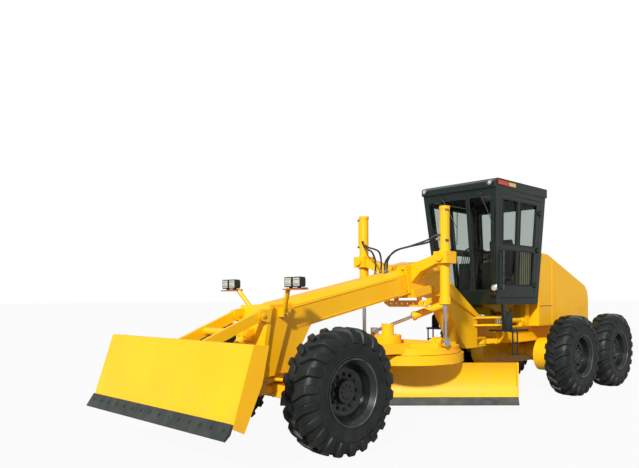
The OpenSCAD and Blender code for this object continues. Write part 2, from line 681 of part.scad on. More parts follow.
// Solid between the cab's walls, d inside their outer faces
module cab_solid(d, z0, z1) intersection() {
    cross_plate([[d - cab_hw(z0), z0], [cab_hw(z0) - d, z0], [cab_hw(z1) - d, z1], [d - cab_hw(z1), z1]],
        cab_rear_top - 10, 1700);
    side_plate([[cab_rear(z0) + d, z0], [cab_front(z0) - d, z0], [cab_front(z1) - d, z1],
        [cab_rear(z1) + d, z1]], -800, 1600);
}

// Side outline between two shares of the cab's length and two heights
function cab_x(share, z) = cab_rear(z) + (cab_front(z) - cab_rear(z)) * share;
function cab_panel(s0, s1, z0, z1) = [[cab_x(s0, z0), z0], [cab_x(s1, z0), z0],
    [cab_x(s1, z1), z1], [cab_x(s0, z1), z1]];
// Front and rear outline between two shares of the half width
function cab_pane(s, z0, z1, e) = [[-cab_hw(z0) * s + e, z0], [cab_hw(z0) * s - e, z0],
    [cab_hw(z1) * s - e, z1], [-cab_hw(z1) * s + e, z1]];

door_s0 = 0.10;
door_s1 = 0.93;
door_z0 = 1640;
door_z1 = 3250;
door_panes = [[0.17, 0.52, 2480, 3180], [0.57, 0.87, 2480, 3180], [0.17, 0.52, 1840, 2400],
    [0.57, 0.87, 1840, 2400]];
glass_seat = 26;
front_z0 = 1760;
front_z1 = 3220;
rear_z0 = 2480;
door_hinge_out = 16;
door_hinge_z = [1850, 2440, 3050];
function door_hinge(z) = [cab_x(door_s0, z), cab_hw(z) + door_hinge_out, z];

module cab_frame() color(dark) {
    difference() {
        cab_solid(0, cab_z0, cab_z1);
        cab_solid(cab_t, cab_z0 + 60, cab_z1 + 1);
        // Door openings, windscreen with its post, and rear window
        side_plate(cab_panel(door_s0, door_s1, door_z0, door_z1), -800, 1600);
        difference() {
            cross_plate(cab_pane(0.88, front_z0, front_z1, 0), fx - 4100, 600);
            block([fx - 4150, 150, front_z0 - 20], [fx - 3400, 190, front_z1 + 20]);
        }
        cross_plate(cab_pane(0.85, rear_z0, front_z1 - 40, 0), cab_rear_top - 100, 300);
    }
    // Tapered base under the floor
    intersection() {
        side_plate([[fx - 3900, cab_z0 + 5], [fx - 4130, cab_base_z], [fx - 4560, cab_base_z],
            [fx - 4700, cab_z0 + 5]],
            -430, 860);
        cross_plate([[-430, cab_z0 + 10], [-cab_base_y, cab_base_z - 10], [cab_base_y, cab_base_z - 10],
            [430, cab_z0 + 10]], fx - 4800, 1000);
    }
    // Ears and pins of the door hinges
    both_sides() for (z = door_hinge_z) {
        bar(door_hinge(z - 40), door_hinge(z + 40), door_pin_r);
        for (e = [-45, 25]) {
            bar(door_hinge(z + e), door_hinge(z + e + 20), 12);
            block([cab_x(door_s0, z + e) - 50, cab_hw(z + e) - 14, z + e],
                [cab_x(door_s0, z + e) - 4, cab_hw(z + e) + door_hinge_out + 8, z + e + 20]);
        }
    }
    // Floor lamp brackets at both front corners
    both_sides() block([cab_front_low - 30, cab_low_hw - 60, 1690],
        [cab_front_low + 90, cab_low_hw + 5, 1740]);
}

module cab_roof() color(dark) {
    x1 = fx - 3630;
    x0 = x1 - roof_len;
    difference() {
        flat_plate([[x0, -roof_hw], [x1, -roof_hw + 20], [x1, roof_hw - 20], [x0, roof_hw]],
            cab_z1 + seat_gap, roof_top - cab_z1 - seat_gap);
        // Sloping front of the visor
        side_plate([[x1 - 100, roof_top + 1], [x1 + 10, roof_top + 1], [x1 + 10, roof_top - 60]],
            -800, 1600);
    }
    // Round lamps at the front corners and low lamps on brackets
    both_sides() bar_x([x1 - 5, roof_hw - 90, roof_top - 75], 42, 60);
}

// Thin pane of glass inside an outline of the cab's side, front or rear
module cab_shell_glass() difference() {
    cab_solid(glass_seat, cab_z0, cab_z1);
    cab_solid(glass_seat + glass_t, cab_z0 - 5, cab_z1 + 5);
}
module cab_glass() color([0.55, 0.65, 0.62, 0.4]) {
    g = 0.3;
    intersection() {
        cab_shell_glass();
        difference() {
            cross_plate(cab_pane(0.88, front_z0 + g, front_z1 - g, g), fx - 4100, 600);
            block([fx - 4150, 150 - g, 1500], [fx - 3600, 190 + g, 3400]);
        }
    }
    intersection() {
        cab_shell_glass();
        cross_plate(cab_pane(0.85, rear_z0 + g, front_z1 - 40 - g, g), cab_rear_top - 100, 300);
    }
}

// Door cut from the same leaning wall, with four panes, hinged at its rear edge
door_gap = 8;
door_pin_r = 8;
module door(side) on_side(side) color(dark) {
    // Hinge knuckles with their leaves on the door's outer face
    for (z = door_hinge_z) difference() {
        union() {
            bar(door_hinge(z - 24), door_hinge(z + 24), 13);
            block([cab_x(door_s0, z) + 6, cab_hw(z) - 12, z - 24],
                [cab_x(door_s0, z) + 56, cab_hw(z) + door_hinge_out + 4, z + 24]);
        }
        bar(door_hinge(z - 40), door_hinge(z + 40), door_pin_r + run_gap);
    }
    intersection() {
        difference() {
            cab_solid(0, cab_z0, cab_z1);
            cab_solid(45, cab_z0 - 5, cab_z1 + 5);
        }
        difference() {
            side_plate([[cab_x(door_s0, door_z0) + door_gap, door_z0 + door_gap],
                [cab_x(door_s1, door_z0) - door_gap, door_z0 + door_gap],
                [cab_x(door_s1, door_z1) - door_gap, door_z1 - door_gap],
                [cab_x(door_s0, door_z1) + door_gap, door_z1 - door_gap]], 300, 500);
            for (p = door_panes) side_plate(cab_panel(p[0], p[1], p[2], p[3]), 300, 500);
        }
    }
    // Grab rail beside the front edge
    bar([cab_x(0.9, 1780), cab_hw(1780) + 45, 1780], [cab_x(0.9, 2380), cab_hw(2380) + 45, 2380], 11);
    for (z = [1790, 2370])
        bar([cab_x(0.9, z), cab_hw(z) - 20, z], [cab_x(0.9, z), cab_hw(z) + 45, z], 11);
}
module door_glass(side) on_side(side) color([0.55, 0.65, 0.62, 0.4]) intersection() {
    cab_shell_glass();
    for (p = door_panes) {
        s = 0.0002;
        side_plate(cab_panel(p[0] + s, p[1] - s, p[2] + 0.3, p[3] - 0.3), 300, 500);
    }
}

module seat() color([0.12, 0.12, 0.13]) {
    sx = fx - 4750;
    floor_z = cab_z0 + 60;
    block([sx - 180, -160, floor_z], [sx + 180, 160, floor_z + 345]);
    side_plate([[sx - 230, floor_z + 330], [sx + 260, floor_z + 340], [sx + 270, floor_z + 420],
        [sx + 230, floor_z + 450], [sx - 140, floor_z + 430], [sx - 270, floor_z + 1080],
        [sx - 360, floor_z + 1080], [sx - 290, floor_z + 420]], -250, 500);
}

module console() color([0.15, 0.16, 0.16]) {
    cx = fx - 4120;
    floor_z = cab_z0 + 60;
    block([cx - 60, -110, floor_z], [cx + 90, 110, floor_z + 120]);
    side_plate([[cx - 20, floor_z + 60], [cx + 60, floor_z + 60], [cx - 40, floor_z + 740],
        [cx - 120, floor_z + 720]], -70, 140);
    // Steering wheel
    translate([cx - 110, 0, floor_z + 770]) rotate([0, -25, 0]) {
        rotate_extrude() translate([200, 0]) circle(r = 15, $fn = 24);
        bar_x([0, 0, 0], 10, 400);
        bar_y([0, 0, 0], 10, 400);
        cylinder(h = 50, r = 40, center = true);
    }
    // Lever banks on both sides
    both_sides() {
        block([cx - 140, 130, floor_z], [cx - 40, 330, floor_z + 620]);
        for (i = [0:4]) {
            bar([cx - 90, 150 + i * 40, floor_z + 610], [cx - 150, 150 + i * 40, floor_z + 800], 7);
            translate([cx - 150, 150 + i * 40, floor_z + 800]) sphere(r = 16, $fn = 24);
        }
    }
    block([cx - 120, -140, floor_z + 500], [cx - 60, 140, floor_z + 600]);
}

// Steps below each door: a cranked bracket, a box step and a hanging stirrup
module steps() color(dark) both_sides() {
    y0 = rail_y + rail_w / 2;
    step_x = fx - 4060;
    block([step_x - 330, y0 + seat_gap, 1120], [step_x + 150, 830, 1150]);
    cross_plate([[560, 1140], [600, 1140], [580, cab_z0 - seat_gap], [540, cab_z0 - seat_gap]],
        step_x - 60, 60);
    side_plate([[step_x - 40, 1140], [step_x + 140, 1140], [step_x + 140, 1340], [step_x - 40, 1480]],
        700, 20);
    for (x = [step_x - 20, step_x + 120]) bar_z([x, 815, 955], 12, 380);
    bar_x([step_x + 50, 815, 780], 12, 164);
    bar_x([step_x + 50, 815, 950], 12, 164);
}

// Drawbar: eye, A-shaped arms and the plate over the circle
plate_z0 = circle_z + circle_h + move_gap;
groove_z = circle_z + 20;
drawbar_plate_h = 30;
module drawbar() color(paint) {
    difference() {
        union() {
            bar_y([hitch_x, 0, hitch_z], hitch_eye_r, hitch_eye_w);
            block([hitch_x - 220, -hitch_eye_w / 2, hitch_z - 75], [hitch_x, hitch_eye_w / 2, hitch_z + 35]);
        }
        bar_y([hitch_x, 0, hitch_z], hitch_pin_r + run_gap, hitch_eye_w + 20);
    }
    difference() {
        union() {
            // Plate with a rim standing up around it
            translate([circle_x, 0, plate_z0]) cylinder(h = drawbar_plate_h, r = circle_r - 40);
            translate([circle_x, 0, plate_z0]) difference() {
                cylinder(h = 90, r = circle_r - 60);
                translate([0, 0, 30]) cylinder(h = 120, r = circle_r - 80);
            }
        }
        translate([circle_x, 0, plate_z0 - 1]) cylinder(h = 200, r = 330);
    }
    both_sides() flat_plate([[hitch_x - 120, 0], [hitch_x - 120, 110], [circle_x + 500, 470],
        [circle_x + 200, 700], [circle_x - 200, 700], [circle_x - 200, 580], [circle_x + 150, 580],
        [circle_x + 420, 380], [hitch_x - 360, 0]], plate_z0 + 25, 130);
    // Cross beam with the bosses of the lift cylinders
    block([lift_eye_x - 70, -590, plate_z0 + 20], [lift_eye_x + 70, 590, plate_z0 + 170]);
    both_sides() {
        bar_y([lift_eye_x, 640, lift_eye_z], 55, 2 * (lift_y - 35 - move_gap - 640));
        block([lift_eye_x - 70, 560, plate_z0 + 100], [lift_eye_x + 70, 640, lift_eye_z + 60]);
    }
    // Gear case with its motor over the circle's front
    bar_z([circle_x + 430, 0, plate_z0 + 130], 190, 240);
    bar_z([circle_x + 430, 0, plate_z0 + 320], 85, 160);
    // Pads that carry the circle's lip
    for (a = [45, 135, 225, 315]) rotate_about_circle(a)
        block([circle_r - 70, -70, groove_z + seat_gap], [circle_r - 45, 70, plate_z0 + 10]);
    // Lug of the centre-shift cylinder
    block([shift_low[0] - 40, shift_low[1] - 60, plate_z0 + 10],
        [shift_low[0] + 40, shift_low[1] - 35, shift_low[2] + 45]);
}
module rotate_about_circle(a) translate([circle_x, 0, 0]) rotate([0, 0, a]) children();

// Circle with the arms that carry the mouldboard's rails, in the blade's own direction
shoe_y = 520;
blade_x = blade_ahead;
module circle_part() color(paint) rotate_about_circle(blade_angle) {
    difference() {
        translate([0, 0, circle_z]) cylinder(h = circle_h, r = circle_r);
        translate([0, 0, circle_z - 1]) cylinder(h = circle_h + 2, r = circle_r - 150);
        // Groove for the drawbar's pads
        translate([0, 0, groove_z]) difference() {
            cylinder(h = circle_h, r = circle_r - 38);
            translate([0, 0, -1]) cylinder(h = circle_h + 2, r = circle_r - 78);
        }
    }
    difference() {
        both_sides() side_plate([[-560, circle_z + 20], [-560, circle_z - 20], [-330, 330],
            [-80, 250], [10, 250],
            [10, 330], [-120, 560], [-60, circle_z - 4], [560, circle_z - 4], [560, circle_z + 20]],
            shoe_y, 60);
        both_sides() bar_y([-150, -shoe_y - 30, 455], 30, 120);
    }
    both_sides() {
        // Shoes that the mouldboard's rails slide through
        for (z = rail_heights) difference() {
            block([-130, shoe_y - 20, z - 50], [58, shoe_y + 90, z + 50]);
            block([rail_x - 25 - 0.5, shoe_y - 60, z - 25 - 0.5], [200, shoe_y + 160, z + 25 + 0.5]);
        }
    }
    block([-560, -shoe_y, circle_z - 20], [-470, shoe_y, circle_z + 20]);
    // Side-shift cylinder barrel
    difference() {
        bar_y([-150, 50, 455], 42, 1100);
        bar_y([-150, 30, 455], 20 + run_gap, 1100);
    }
}
rail_x = 40;
rail_heights = [330, 600];

// Mouldboard: curved plate, slide rails on its back and the side-shift rod
function board_x(z) = curve_x - sqrt(pow(blade_curve_r + blade_t / 2, 2) - pow(z - curve_z, 2));
board_mid = -blade_shift;
curve_z = blade_top - blade_h / 2;
curve_x = blade_x + sqrt(pow(blade_curve_r, 2) - pow(blade_h / 2, 2));
module mouldboard() color(paint) rotate_about_circle(blade_angle) translate([0, board_mid, 0]) {
    half = blade_len / 2;
    intersection() {
        difference() {
            bar_y([curve_x, 0, curve_z], blade_curve_r + blade_t, blade_len);
            bar_y([curve_x, 0, curve_z], blade_curve_r, blade_len + 2);
        }
        block([curve_x - 600, -half, blade_top - blade_h], [curve_x, half, blade_top]);
    }
    for (z = rail_heights) {
        block([rail_x - 25, -1180, z - 25], [rail_x + 25, 1180, z + 25]);
        for (y = [-1180, -20, 1140]) block([rail_x + 24, y, z - 20], [board_x(z), y + 40, z + 20]);
    }
    // End plates and the side-shift rod with its lug
    both_sides() side_plate([[blade_x - 60, blade_top], [blade_x + 6, blade_top],
        [blade_x + 6, blade_top - blade_h],
        [blade_x - 60, blade_top - blade_h], [blade_x - 110, curve_z]], half - 20, 20);
    translate([0, -board_mid, 0]) {
        bar_y([-150, -650, 455], 20, 1250);
        block([-190, -1290, 420], [curve_x - blade_curve_r - 4, -1260, 490]);
    }
}

// Cutting edge bolted along the foot of the mouldboard
module mouldboard_edge() color([0.35, 0.35, 0.36]) rotate_about_circle(blade_angle)
    translate([0, board_mid, 0]) side_plate([[blade_x - 4, blade_top - blade_h - seat_gap],
        [blade_x + 56, blade_top - blade_h - 100], [blade_x + 36, blade_top - blade_h - 112],
        [blade_x - 30, blade_top - blade_h - seat_gap]], -blade_len / 2, blade_len);

// Centre-shift cylinder between the hinge leg and the drawbar, with a ball at its upper end
shift_high = [fx - 2870, 330, 1560];
shift_low = [fx - 2080, -330, 1180];
shift_pin_r = 22;
shift_dir = (shift_low - shift_high) / norm(shift_low - shift_high);
module shift_barrel() color(paint) difference() {
    union() {
        translate(shift_high) sphere(r = 58, $fn = 48);
        bar(shift_high, shift_high + shift_dir * 500, 55);
        bar(shift_high + shift_dir * 470, shift_high + shift_dir * 520, 66);
    }
    translate(shift_high) sphere(r = 34 + seat_gap, $fn = 48);
    bar(shift_high, shift_high + [0, 0, 80], 34);
    bar(shift_high + shift_dir * 100, shift_high + shift_dir * 700, 24 + run_gap);
}
module shift_rod() color(steel) {
    bar(shift_high + shift_dir * 330, shift_low, 24);
    bar_y(shift_low, 48, 56);
    bar_y(shift_low + [0, 20, 0], shift_pin_r, 40);
}
module shift_stud() {
    translate(shift_high) sphere(r = 34, $fn = 48);
    bar(shift_high, shift_high + [0, 0, 130], 18);
    block([shift_high[0] - 60, leg_w / 2 - 20, shift_high[2] + 120],
        [shift_high[0] + 60, shift_high[1] + 60, shift_high[2] + 165]);
    block([shift_high[0] - 60, leg_w / 2 - 10, shift_high[2] + 120],
        [shift_high[0] + 60, leg_w / 2 + 20, shift_high[2] + 260]);
}

// Front dozer: a parallelogram of lower arms and upper links carries the blade
arm_low = [fx + 495, 860];
arm_high = [fx + 390, 1460];
arm_reach = [735, -300];
arm_y = 205;
arm_w = 50;
pin_r = 28;
function side_bar(p, q, h) = let (n = [p[1] - q[1], q[0] - p[0]] * (h / 2 / norm(q - p)))
    [p + n, q + n, q - n, p - n];
module dozer_arm(p) difference() {
    union() {
        side_plate(side_bar(p, p + arm_reach, 110), arm_y, arm_w);
        for (c = [p, p + arm_reach]) bar_y([c[0], arm_y + arm_w / 2, c[1]], 62, arm_w);
    }
    for (c = [p, p + arm_reach]) bar_y([c[0], arm_y + arm_w / 2, c[1]], pin_r + run_gap, arm_w + 20);
}
arm_tie = arm_low + arm_reach * 0.78;
module dozer_arms() color(paint) {
    both_sides() dozer_arm(arm_low);
    bar_y([arm_tie[0], 0, arm_tie[1]], 45, 2 * arm_y + 20);
}
module dozer_links() color(paint) {
    both_sides() dozer_arm(arm_high);
    bar_y([arm_high[0] + arm_reach[0] * 0.55, 0, arm_high[1] + arm_reach[1] * 0.55], 40, 2 * arm_y + 20);
}
// Lug pair around one arm end, with its pin
module arm_lugs(c, foot) {
    for (y = [arm_y - 24 - move_gap, arm_y + arm_w + move_gap])
        side_plate(concat([c + [0, 0]], foot), y, 24);
    for (y = [arm_y - 12 - move_gap, arm_y + arm_w + 12 + move_gap]) bar_y([c[0], y, c[1]], 58, 24);
    bar_y([c[0], arm_y + arm_w / 2, c[1]], pin_r, arm_w + 2 * move_gap + 60);
}
module dozer_blade() color(paint) {
    top = [fx + 1306, dozer_top];
    foot = [fx + 1530, 550];
    t = [dozer_t, 0];
    half = dozer_w / 2;
    side_plate([top, foot, foot - t - [10, 0], top - t - [10, 0]], -half, dozer_w);
    // Stiffening channels along the back
    for (s = [0.04, 0.5, 0.86]) {
        c = top + (foot - top) * s - t;
        side_plate([c, c + [22, -70], c + [-70, -100], c + [-80, -10]], -half + 20, dozer_w - 40);
    }
    both_sides() {
        side_plate([top, top - [166, 13], [fx + 1220, 890], [fx + 1410, 490], foot], half - 25, 25);
        arm_lugs(arm_low + arm_reach, [arm_low + arm_reach + [0, 90], foot + [-110, 240], foot + [-25, 60],
            arm_low + arm_reach + [0, -70]]);
        arm_lugs(arm_high + arm_reach, [arm_high + arm_reach + [0, 70], top + [-25, -20], top + [40, -230],
            arm_high + arm_reach + [0, -70]]);
    }
}
module dozer_edge() color([0.12, 0.15, 0.15])
    side_plate([[fx + 1531, 590], [fx + 1617, 462], [fx + 1605, dozer_low], [fx + 1550, 500],
        [fx + 1522, 575]], -dozer_w / 2, dozer_w);

// Dozer cylinder from the nose to the lower arms' cross tube
ram_high = [fx + 430, 0, 1240];
ram_low = [arm_tie[0], 0, arm_tie[1]];
ram_dir = (ram_low - ram_high) / norm(ram_low - ram_high);
module dozer_barrel() color(paint) difference() {
    union() {
        bar_y(ram_high, 55, 70);
        bar(ram_high, ram_high + ram_dir * 90, 34);
        bar(ram_high + ram_dir * 75, ram_high + ram_dir * 520, 50);
    }
    bar_y(ram_high, pin_r + run_gap, 90);
    bar(ram_high + ram_dir * 90, ram_high + ram_dir * 600, 25 + run_gap);
}
module dozer_rod() color(steel) {
    bar(ram_high + ram_dir * 330, ram_low - ram_dir * (45 + move_gap + 40), 25);
    difference() {
        translate(ram_low) bar_y([0, 0, 0], 92, 70);
        translate(ram_low) bar_y([0, 0, 0], 45 + move_gap + 20, 80);
    }
}
module ram_lugs() {
    for (y = [-35 - move_gap - 24, 35 + move_gap])
        side_plate([[fx + 290, 1330], [fx + 430, 1298], [fx + 488, 1240], [fx + 430, 1182],
            [fx + 320, 1160]], y, 24);
    bar_y(ram_high, pin_r, 2 * (35 + move_gap) + 40);
}

rear_frame();
rail(1);  // rail_left
rail(-1);  // rail_right
drive_axle();
engine_block();
hood();
hood_rear();
hood_side_panel(1);  // hood_side_left
hood_side_panel(-1);  // hood_side_right
cab_frame();
cab_roof();
cab_glass();
seat();
console();
steps();
artic_barrels();
door(1);  // door_left
door(-1);  // door_right
door_glass(1);  // door_glass_left
door_glass(-1);  // door_glass_right
front_frame();
lift_saddle();
lift_barrels();
work_lamps();
hoses();
front_axle();
artic_rod(1);  // artic_rod_left
artic_rod(-1);  // artic_rod_right
lean_bracket(1);  // lean_left
lean_bracket(-1);  // lean_right
lean_bar();
knuckle(1);  // knuckle_left
knuckle(-1);  // knuckle_right
tie_rod();
rim(fx, 1);  // rim_front_left
rim(fx, -1);  // rim_front_right
rim(mid_x, 1);  // rim_mid_left
rim(mid_x, -1);  // rim_mid_right
rim(rear_x, 1);  // rim_rear_left
rim(rear_x, -1);  // rim_rear_right
tyre(fx, 1);  // tyre_front_left
tyre(fx, -1);  // tyre_front_right
tyre(mid_x, 1);  // tyre_mid_left
tyre(mid_x, -1);  // tyre_mid_right
tyre(rear_x, 1);  // tyre_rear_left
tyre(rear_x, -1);  // tyre_rear_right
drawbar();
circle_part();  // circle
mouldboard();
mouldboard_edge();
lift_rods();
shift_barrel();
shift_rod();
dozer_arms();
dozer_links();
dozer_blade();
dozer_edge();
dozer_barrel();
dozer_rod();
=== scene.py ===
"""Looks of a motor grader with a front dozer blade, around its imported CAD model. Metres, +X forward."""
import math

import bpy
from mathutils import Matrix, Vector
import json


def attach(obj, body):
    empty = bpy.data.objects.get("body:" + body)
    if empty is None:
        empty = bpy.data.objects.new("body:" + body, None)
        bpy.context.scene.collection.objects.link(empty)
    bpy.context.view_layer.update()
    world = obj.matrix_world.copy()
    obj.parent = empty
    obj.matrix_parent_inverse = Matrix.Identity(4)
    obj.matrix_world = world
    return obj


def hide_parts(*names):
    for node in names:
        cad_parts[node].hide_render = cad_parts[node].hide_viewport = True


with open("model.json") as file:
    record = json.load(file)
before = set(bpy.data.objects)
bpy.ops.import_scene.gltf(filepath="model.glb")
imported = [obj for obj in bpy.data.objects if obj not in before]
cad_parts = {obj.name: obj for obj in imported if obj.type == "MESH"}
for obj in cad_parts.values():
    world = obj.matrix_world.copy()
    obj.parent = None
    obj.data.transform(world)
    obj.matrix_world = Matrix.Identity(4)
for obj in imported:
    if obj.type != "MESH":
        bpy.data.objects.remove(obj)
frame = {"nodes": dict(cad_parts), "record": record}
NODES = frame["nodes"]


def write_size():
    """Updates the scene's view layer."""
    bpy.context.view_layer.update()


write_size()

# Driving dimensions of the machine, in metres and degrees
FRONT_X = 3.014
MID_X = -2.416
REAR_X = -3.956
WHEEL_Y = 1.076
AXLE_Z = 0.675
TYRE_R = 0.675
TYRE_W = 0.440
RIM_R = 0.350
BLADE_ANGLE = 42.0
CIRCLE = Vector((0.614, 0.0, 0.0))
SIDES = (("left", 1), ("right", -1))
SIGNS = (1, -1)
WHEELS = [(place, side, x, sign) for place, x in (("front", FRONT_X), ("mid", MID_X), ("rear", REAR_X))
          for side, sign in SIDES]


# Mesh building
class Shape:
    """Collects faces of several solids into one mesh."""

    def __init__(self):
        self.points = []
        self.faces = []

    def add(self, points, faces):
        first = len(self.points)
        self.points += [Vector(p) for p in points]
        self.faces += [tuple(first + i for i in face) for face in faces]
        return self

    def block(self, low, high):
        """A box from its low to its high corner."""
        (a, b, c), (d, e, f) = low, high
        points = [(x, y, z) for x in (a, d) for y in (b, e) for z in (c, f)]
        return self.add(points, [(0, 1, 3, 2), (4, 6, 7, 5), (0, 4, 5, 1), (2, 3, 7, 6), (0, 2, 6, 4),
                                 (1, 5, 7, 3)])

    def loft(self, rings, closed_ends=True):
        """A skin over rings that have the same number of points."""
        count = len(rings[0])
        points = [p for ring in rings for p in ring]
        faces = []
        for i in range(len(rings) - 1):
            for k in range(count):
                n = (k + 1) % count
                faces.append((i * count + k, i * count + n, (i + 1) * count + n, (i + 1) * count + k))
        if closed_ends:
            faces.append(tuple(range(count - 1, -1, -1)))
            faces.append(tuple((len(rings) - 1) * count + k for k in range(count)))
        return self.add(points, faces)

    def bar(self, start, end, radius, sides=16, end_radius=None):
        """A round bar or cone between two points."""
        start, end = Vector(start), Vector(end)
        far = radius if end_radius is None else end_radius
        across, up = side_vectors(end - start)
        rings = [[p + r * (math.cos(a) * across + math.sin(a) * up) for a in turn(sides)]
                 for p, r in ((start, radius), (end, far))]
        return self.loft(rings)

    def tube(self, route, radius, sides=10, steps=5):
        """A round tube along a smooth curve through the route's points."""
        path = smooth_path([Vector(p) for p in route], steps)
        across = side_vectors(path[1] - path[0])[0]
        rings = []
        for i, p in enumerate(path):
            along = (path[min(i + 1, len(path) - 1)] - path[max(i - 1, 0)]).normalized()
            across = (across - across.dot(along) * along).normalized()
            up = along.cross(across)
            rings.append([p + radius * (math.cos(a) * across + math.sin(a) * up) for a in turn(sides)])
        return self.loft(rings)

    def lathe(self, profile, centre, axis, steps=48):
        """A closed profile of (radius, place along the axis) turned about an axis."""
        centre, axis = Vector(centre), Vector(axis).normalized()
        across, up = side_vectors(axis)
        rings = [[centre + axis * w + r * (math.cos(a) * across + math.sin(a) * up) for r, w in profile]
                 for a in turn(steps)]
        return self.loft(rings + rings[:1], closed_ends=False)

    def bolt(self, place, normal, radius=0.014, height=0.011):
        """A hexagon bolt head on its round washer."""
        place, normal = Vector(place), Vector(normal).normalized()
        self.bar(place, place + normal * height * 0.25, radius * 1.45, 14)
        return self.bar(place, place + normal * height, radius, 6, radius * 0.93)

    def make(self, name, look, body, bevel=0.0, smooth=35.0):
        """The collected faces as one piece that rides on a CAD body."""
        mesh = bpy.data.meshes.new(name)
        mesh.from_pydata(self.points, [], self.faces)
        mesh.update()
        piece = bpy.data.objects.new(name, mesh)
        bpy.context.scene.collection.objects.link(piece)
        mesh.materials.append(look)
        if bevel:
            edge = piece.modifiers.new("bevel", "BEVEL")
            edge.width = bevel
            edge.segments = 2
            edge.angle_limit = math.radians(40)
        mesh.shade_smooth()
        mesh.set_sharp_from_angle(angle=math.radians(smooth))
        if body:
            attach(piece, body)
        return piece


def turn(count):
    """Evenly spaced angles of one full turn."""
    return [2 * math.pi * k / count for k in range(count)]


def side_vectors(along):
    """Two unit vectors square to a direction and to each other."""
    along = Vector(along).normalized()
    helper = Vector((0, 0, 1)) if abs(along.z) < 0.9 else Vector((1, 0, 0))
    across = helper.cross(along).normalized()
    return across, along.cross(across)


def smooth_path(route, steps):
    """Points on a curve through every point of the route."""
    path = []
    last = len(route) - 1
    for i in range(last):
        a, b, c, d = (route[max(i - 1, 0)], route[i], route[i + 1], route[min(i + 2, last)])
        for k in range(steps):
            t = k / steps
            path.append(0.5 * (2 * b + (c - a) * t + (2 * a - 5 * b + 4 * c - d) * t * t
                               + (3 * b - a - 3 * c + d) * t ** 3))
    return path + [route[-1]]


# Node groups shared by the materials
def new_group(name, inputs, outputs):
    """An empty node group with its sockets, its input and its output node."""
    group = bpy.data.node_groups.new(name, "ShaderNodeTree")
    for label, kind, value in inputs:
        socket = group.interface.new_socket(label, in_out="INPUT", socket_type=kind)
        socket.default_value = value
    for label, kind in outputs:
        group.interface.new_socket(label, in_out="OUTPUT", socket_type=kind)
    return group, group.nodes.new("NodeGroupInput"), group.nodes.new("NodeGroupOutput")


def noise_node(group, scale, detail, coordinates):
    """A noise texture read at the object's own coordinates."""
    noise = group.nodes.new("ShaderNodeTexNoise")
    noise.inputs["Detail"].default_value = detail
    group.links.new(coordinates.outputs["Object"], noise.inputs["Vector"])
    if isinstance(scale, float):
        noise.inputs["Scale"].default_value = scale
    else:
        group.links.new(scale, noise.inputs["Scale"])
    return noise


def mottle_group():
    """Colour and roughness that vary softly, with fine grain for bump."""
    group, given, result = new_group(
        "mottled surface",
        [("Color", "NodeSocketColor", (0.5, 0.5, 0.5, 1)),
         ("Second Color", "NodeSocketColor", (0.4, 0.4, 0.4, 1)),
         ("Scale", "NodeSocketFloat", 3.0), ("Grain Scale", "NodeSocketFloat", 220.0),
         ("Low Roughness", "NodeSocketFloat", 0.3), ("High Roughness", "NodeSocketFloat", 0.5)],
        [("Color", "NodeSocketColor"), ("Roughness", "NodeSocketFloat"), ("Height", "NodeSocketFloat")])
    coordinates = group.nodes.new("ShaderNodeTexCoord")
    cloud = noise_node(group, given.outputs["Scale"], 5.0, coordinates)
    grain = noise_node(group, given.outputs["Grain Scale"], 2.0, coordinates)
    blend = group.nodes.new("ShaderNodeMapRange")
    blend.inputs["From Min"].default_value = 0.38
    blend.inputs["From Max"].default_value = 0.66
    group.links.new(cloud.outputs["Fac"], blend.inputs["Value"])
    mix = group.nodes.new("ShaderNodeMix")
    mix.data_type = "RGBA"
    group.links.new(blend.outputs["Result"], mix.inputs["Factor"])
    group.links.new(given.outputs["Color"], mix.inputs["A"])
    group.links.new(given.outputs["Second Color"], mix.inputs["B"])
    rough = group.nodes.new("ShaderNodeMapRange")
    group.links.new(cloud.outputs["Fac"], rough.inputs["Value"])
    group.links.new(given.outputs["Low Roughness"], rough.inputs["To Min"])
    group.links.new(given.outputs["High Roughness"], rough.inputs["To Max"])
    group.links.new(mix.outputs["Result"], result.inputs["Color"])
    group.links.new(rough.outputs["Result"], result.inputs["Roughness"])
    group.links.new(grain.outputs["Fac"], result.inputs["Height"])
    return group


